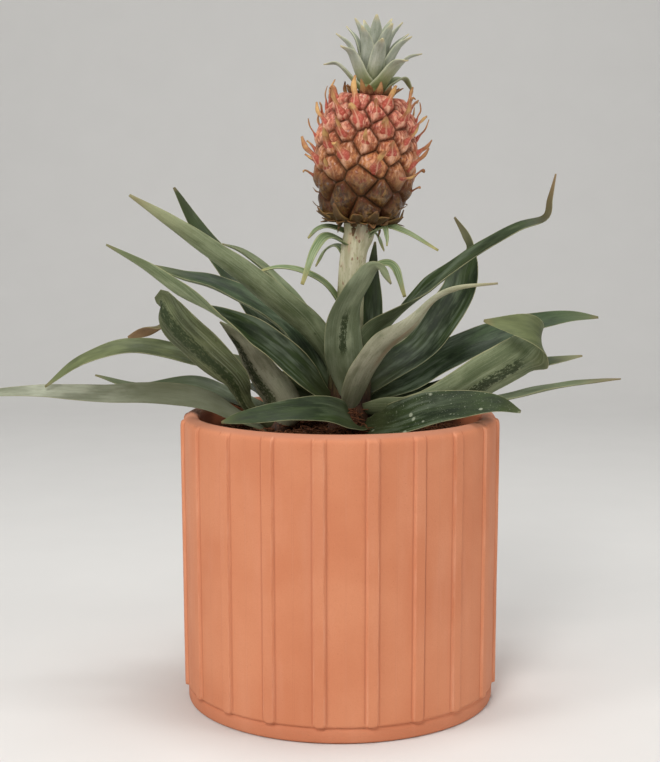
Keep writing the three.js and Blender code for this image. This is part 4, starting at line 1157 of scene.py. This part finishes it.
def makeFruitSkin():
    level, centres, _, across, upward = fruitletPlaces()
    height = fruit["height"]
    levels = np.linspace(fruit["low"] - 0.02, fruit["high"] + 0.005, fruit["rows"])
    profile = [*fruit["footRows"], *zip(fruitProfile(levels), levels * height),
               *((radius, height + drop) for radius, drop in fruit["topRows"])]
    angles = circle(fruit["columns"])
    points, faces = turned(profile, angles)
    rings = np.array(profile)[1:-1]
    slope = np.gradient(rings[:, 0], rings[:, 1] + np.arange(len(rings)) * 1e-6)
    slope = np.clip(slope, -2.5, 2.5)
    normal = np.stack([
        np.repeat(np.sin(angles)[None], len(rings), 0), np.repeat(-np.cos(angles)[None], len(rings), 0),
        np.repeat(-slope[:, None], len(angles), 1)], axis=-1).reshape(-1, 3)
    normal = np.vstack([unit(normal), [-up, up]])

    away = np.linalg.norm(points[:, None] - centres[None], axis=-1)
    nearest, second = np.argsort(away, axis=1)[:, :2].T
    first, other = np.sort(away, axis=1)[:, :2].T
    apart = np.linalg.norm(centres[nearest] - centres[second], axis=1)
    border = (other ** 2 - first ** 2) / (2 * apart)
    size = lerp(1.15, 0.85, level[nearest])
    swell = (1 - (first / (first + border)) ** 2) ** 0.72
    local = points - centres[nearest]
    sideOff = np.sum(local * across[nearest], axis=1)
    upOff = np.sum(local * upward[nearest], axis=1)
    ridge = np.exp(-(sideOff / 1.0) ** 2) * smoothstep(upOff, 2.6, 0.2) * smoothstep(border, 0.2, 1.2)
    pucker = np.exp(-((sideOff / 2.0) ** 2 + ((upOff - 0.8) / 1.5) ** 2))
    draw = np.random.default_rng(5)
    shade = draw.uniform(0, 1, fruit["fruitlets"])
    lift = draw.uniform(0.85, 1.15, fruit["fruitlets"])
    rise = fruit["rise"] * size * lift[nearest] * swell + 0.45 * ridge - 0.55 * pucker
    rise -= fruit["groove"] * np.exp(-(border / 0.55) ** 2)
    ends = smoothstep(points[:, 2], 0.2, 3.0) * smoothstep(points[:, 2], height - 0.1, height - 1.8)
    points = points + normal * (rise * ends)[:, None]
    attributes = {
        "groove": np.exp(-(border / 0.55) ** 1.4), "ridge": ridge, "crest": swell, "shade": shade[nearest],
        "level": np.clip(points[:, 2] / height, 0, 1), "sideways": sideOff, "lengthways": upOff,
    }
    piece = makePiece("fruitSkin", points + up * fruit["foot"], faces, [fruitFinish()], attributes)
    piece.data.transform(fruitTop)
    return piece


def driedWidth(share):
    return ((0.7 + 0.3 * smoothstep(share, 0, 0.2)) * (1 - 0.52 * smoothstep(share, 0.25, 0.55))
            * (1 - 0.62 * smoothstep(share, 0.75, 1)))


def bractShape(number):  # a dried bract in its own frame: X across, Y up the fruit, Z outward
    draw = np.random.default_rng(100 + number)
    hook = draw.uniform(-0.5, 0.24)
    lean = draw.uniform(-0.26, 0.26)
    guides = [(0, -0.4, -0.2), (0, -0.16, 0.08), (lean * 0.3, 0.08, 0.3), (lean, 0.3, 0.62),
              (lean * 1.8, 0.56 + hook, 0.96 - abs(hook) * 0.6)]
    points, quads, attributes = bladeSkin(
        np.array(guides) * bracts["length"], [(0, 0.3, -1), (0, 0.7, -0.7), (lean * 4, 1, -0.1)], (66, 16),
        bracts["width"], driedWidth, 14, 7, middle=0.7, edge=0.4, wave=0.8, seed=number)
    return makePiece(f"bract{number}", points, quads, [], attributes)


def bractTree(shelf, material):
    def build(tree, entry, inputs):
        outward, upward = (tree.named(name, "FLOAT_VECTOR") for name in ("outward", "upward"))
        face = tree.node("FunctionNodeAxesToRotation", {"primary_axis": "Z", "secondary_axis": "Y"}, {
            "Primary Axis": outward, "Secondary Axis": upward})
        sway = tree.random("FLOAT_VECTOR", *bracts["sway"], inputs["Seed"])
        turn = tree.node("FunctionNodeRotateRotation", {"rotation_space": "LOCAL"}, {
            "Rotation": face, "Rotate By": sway})
        points = tree.node("GeometryNodeMeshToPoints", None, {"Mesh": entry})
        size = tree.named("length") * inputs["Size"]
        return tree.dressed(scatter(tree, points, shelf, size, turn, inputs["Seed"]), material)
    return build


def makeBracts(material):
    level, centres, outward, _, upward = fruitletPlaces()
    uneven = np.random.default_rng(9).uniform(0.78, 1.2, len(level))
    length = lerp(*bracts["lengths"], smoothstep(level, 0.12, 0.6)) * uneven / bracts["length"]
    roots = centres + outward * (fruit["rise"] * 0.72) - upward * 0.4
    source = makePiece("bractRoots", roots, [], [], {"level": level, "length": length})
    for key, values in (("outward", outward), ("upward", upward)):
        attribute = source.data.attributes.new(key, "FLOAT_VECTOR", "POINT")
        attribute.data.foreach_set("vector", values.ravel())
    shelf = variantShelf("bracts", [bractShape(number) for number in range(bracts["shapes"])])
    mesh = growTree("driedBracts", source, {"Size": 1.0, "Seed": bracts["seed"]}, bractTree(shelf, material))
    clearShelf(shelf)
    bpy.data.objects.remove(source)
    mesh.transform(fruitTop @ Matrix.Translation(Vector((0, 0, fruit["foot"] * millimetre))))
    return pieceOf("driedBracts", mesh)


collars = {  # path: how far out from the fruit's axis and how far up it, from base to tip
    "fruitCup": {
        "bracts": 15, "width": 8.4, "seed": 220, "spread": (1.4, 2.6), "face": -0.6, "tint": 0.02,
        "path": [(6.5, 1.2), (12.2, 0.4), (17.2, 2.8), (19.6, 5.8)]},
    "fruitSkirt": {
        "bracts": 17, "width": 7.0, "seed": 200, "spread": (1.6, 2.0), "face": 1.0, "tint": 0.1,
        "path": [(6.5, 2.4), (10.5, 0.7), (13.6, 0.2), (16.4, 0.6)]},
    "hangingBracts": {
        "bracts": 7, "width": 4.6, "seed": 240, "spread": (0.8, 2.0), "face": 0.6, "tint": 0.12,
        "path": [(5.5, 2.4), (8.2, 0.6), (9.2, -1.4), (9.4, -3.8)]},
    "fruitRuff": {
        "bracts": 15, "width": 5.0, "seed": 270, "spread": (2.2, 2.0), "face": -1.2, "tint": 0.24,
        "path": [(6, 52.4), (8.8, 54.8), (10.4, 57), (12, 59.4)]},
}


def radialAt(angle):
    return np.array([math.cos(angle), math.sin(angle), 0])


def collarWidth(share):
    return (1 - 0.1 * share) * (1 - 0.88 * share ** 2.4)


def makeCollar(name, material, collar):  # papery bracts that overlap round the axis
    skins = []
    shades = []
    for number in range(collar["bracts"]):
        draw = np.random.default_rng(collar["seed"] + number)
        radial = radialAt((number + draw.uniform(-0.3, 0.3)) / collar["bracts"] * 2 * math.pi)
        end = np.array(collar["path"][-1]) + draw.uniform(-1, 1, 2) * collar["spread"]
        guides = [radial * out + up * rise for out, rise in [*collar["path"][:-1], end]]
        skins.append(bladeSkin(
            guides, [radial * collar["face"] + up, up, up - radial * 0.3], (50, 40), collar["width"],
            collarWidth, 12, 7, middle=0.8, edge=0.4, wave=0.35, seed=number))
        shades.append(np.full(len(skins[-1][0]), collar["tint"] + draw.uniform(-0.06, 0.1)))
    points, quads, attributes = joinSkins(skins)
    attributes["level"] = np.concatenate(shades)
    piece = makePiece(name, points, quads, [material], attributes)
    piece.data.transform(fruitTop)
    return piece


crown = {
    "foot": 55.1, "seatRadius": 6.6, "leaves": 22, "widths": (9.2, 8.6), "seed": 300,
    "tones": ((148, 154, 138), (182, 184, 170)),
    # along a leaf, for the lowest and the highest leaf: how far out, how far up, each with its power
    "path": [((4.6, 1.4), 1, (0.7, 12), 1), ((8.8, 3.8), 1, (5, 18), 1),
             ((16, 5.2), 1.1, (9, 27), 0.6), ((22, 8), 1.4, (4, 33.5), 0.45)],
}


def crownFinish():
    paint = Finish("crownLeaf")
    across, along, under = paint.attributes("across", "along", "underside")
    z = paint.split(paint.place())[2]
    lines = paint.drawnOut(1.5, 0.06, 3.0, 2, 0.6)
    bloom = paint.drawnOut(0.5, 0.15, 8.0, 3)
    grain = paint.drawnOut(1.8, 1.2, 5.0, 3, 0.7)
    colour = paint.layered(
        paint.mix(bloom.step(0.3, 0.7), *crown["tones"]),
        (lines.step(0.5, 0.75) * 0.4, (114, 122, 102)),
        ((1 - under) * 0.35, (128, 138, 114)),
        (grain.step(0.5, 0.7) * 0.35, (122, 130, 100)),
        (z.step(279, 265) * 0.85, (126, 136, 66)),
        (abs(across).step(0.75, 0.97) * 0.6, (196, 198, 168)),
        (along.step(0.82, 1.0) * 0.75, (196, 182, 138)))
    return paint.surface(colour, 0.55 + bloom * 0.15, lines, 0.2, 0.35)


def makeCrown():
    seat = crown["seatRadius"]
    core = [(0, 0), (seat - 1.2, 0.05), (seat - 1, 4), (4.6, 10), (2.4, 17), (0, 18)]
    points, faces = turned(core, circle(24))
    skins = [(points, faces, noBlade(points))]
    for number in range(crown["leaves"]):
        share = number / (crown["leaves"] - 1)
        radial = radialAt(number * goldenAngle + 0.6)
        guides = [radial * lerp(*out, share ** outPower) + up * lerp(*rise, share ** risePower)
                  for out, outPower, rise, risePower in crown["path"]]
        skins.append(bladeSkin(
            guides, [up * 0.4 - radial, up - radial * 0.5], (50, 25), lerp(*crown["widths"], share),
            crownWidth, 26, 9, middle=1.1, edge=0.5, wave=0.12, seed=crown["seed"] + number))
    points, quads, attributes = joinSkins(skins)
    piece = makePiece("crownTuft", points + up * crown["foot"], quads, [crownFinish()], attributes)
    piece.data.transform(fruitTop)
    settle(piece, "crown", "crown")


settle(makeFruitSkin(), "fruit", "fruit")
driedFinish = bractFinish()
settle(makeBracts(driedFinish), "fruit")
for name, collar in collars.items():
    settle(makeCollar(name, driedFinish, collar), "fruit")
makeCrown()
print("fruit and crown made")


# Floor, light and camera

studio = {  # places and sizes in metres
    "floorTones": ((222, 221, 219), (226, 225, 223)), "world": 0.3, "worldTone": (1.0, 0.995, 0.985),
    "lights": [
        ("left", (-1.2, -0.75, 0.7), 0.45, 5.6, (1.0, 0.985, 0.96)),
        ("right", (1.25, -0.6, 0.6), 0.5, 4.6, (1.0, 0.99, 0.97)),
        ("front", (-0.35, -1.25, 1.2), 0.5, 12.0, (1.0, 0.985, 0.96)),
        ("top", (0.1, 0.0, 1.4), 0.45, 7.4, (1.0, 1.0, 0.99)),
    ],
    "target": (0.0, 0.0, 0.15),
    "sweepFrom": 0.9, "sweepRadius": 0.7, "sweepTop": 2.6, "half": 3.0, "gap": 0.0002,
}


def makeStudio():
    paint = Finish("floorPaint")
    grain = paint.cloud(paint.place(), 0.02, 2)
    paint.surface(paint.mix(grain, *studio["floorTones"]), 0.8)
    start, radius, half = studio["sweepFrom"], studio["sweepRadius"], studio["half"]
    bow = np.radians(np.linspace(0, 90, 25))
    rows = [(-half, 0), *zip(start + radius * np.sin(bow), radius * (1 - np.cos(bow))),
            (start + radius, studio["sweepTop"])]
    corners = [(side * half, y, z - studio["gap"]) for y, z in rows for side in (-1, 1)]
    strips = [[2 * k, 2 * k + 1, 2 * k + 3, 2 * k + 2] for k in range(len(rows) - 1)]
    makePiece("floor", np.array(corners) / millimetre, strips, [paint.material])
    world = bpy.data.worlds.new("studio")
    world.use_nodes = True
    background = world.node_tree.nodes["Background"]
    background.inputs["Color"].default_value = (*studio["worldTone"], 1.0)
    background.inputs["Strength"].default_value = studio["world"]
    scene.world = world
    for name, place, size, power, colour in studio["lights"]:
        lamp = bpy.data.lights.new(name, "AREA")
        lamp.shape = "DISK"
        lamp.size = size
        lamp.energy = power
        lamp.color = colour
        holder = bpy.data.objects.new(name, lamp)
        holder.location = place
        aim = Vector(studio["target"]) - Vector(place)
        holder.rotation_euler = aim.to_track_quat("-Z", "Y").to_euler()
        scene.collection.objects.link(holder)


photo = {
    "width": 660, "height": 762, "focal": 1421.0, "axis": 340.0,  # in pixels
    "distance": 620.0, "level": 212.4, "tilt": 6.69,
    "sensor": 36.0, "nearest": 0.01, "farthest": 20,
}


def makeCamera():
    lens = bpy.data.cameras.new("photoView")
    lens.sensor_width = photo["sensor"]  # of the picture's long side
    lens.lens = lens.sensor_width * photo["focal"] / photo["height"]
    lens.shift_x = -(photo["axis"] - photo["width"] / 2) / photo["height"]
    lens.clip_start = photo["nearest"]
    lens.clip_end = photo["farthest"]
    camera = bpy.data.objects.new("photoView", lens)
    camera.location = (0, -photo["distance"] * millimetre, photo["level"] * millimetre)
    camera.rotation_euler = (math.radians(90 - photo["tilt"]), 0, 0)
    scene.collection.objects.link(camera)
    scene.camera = camera


makeStudio()
makeCamera()
scene.view_settings.view_transform = "Standard"
print("studio made")
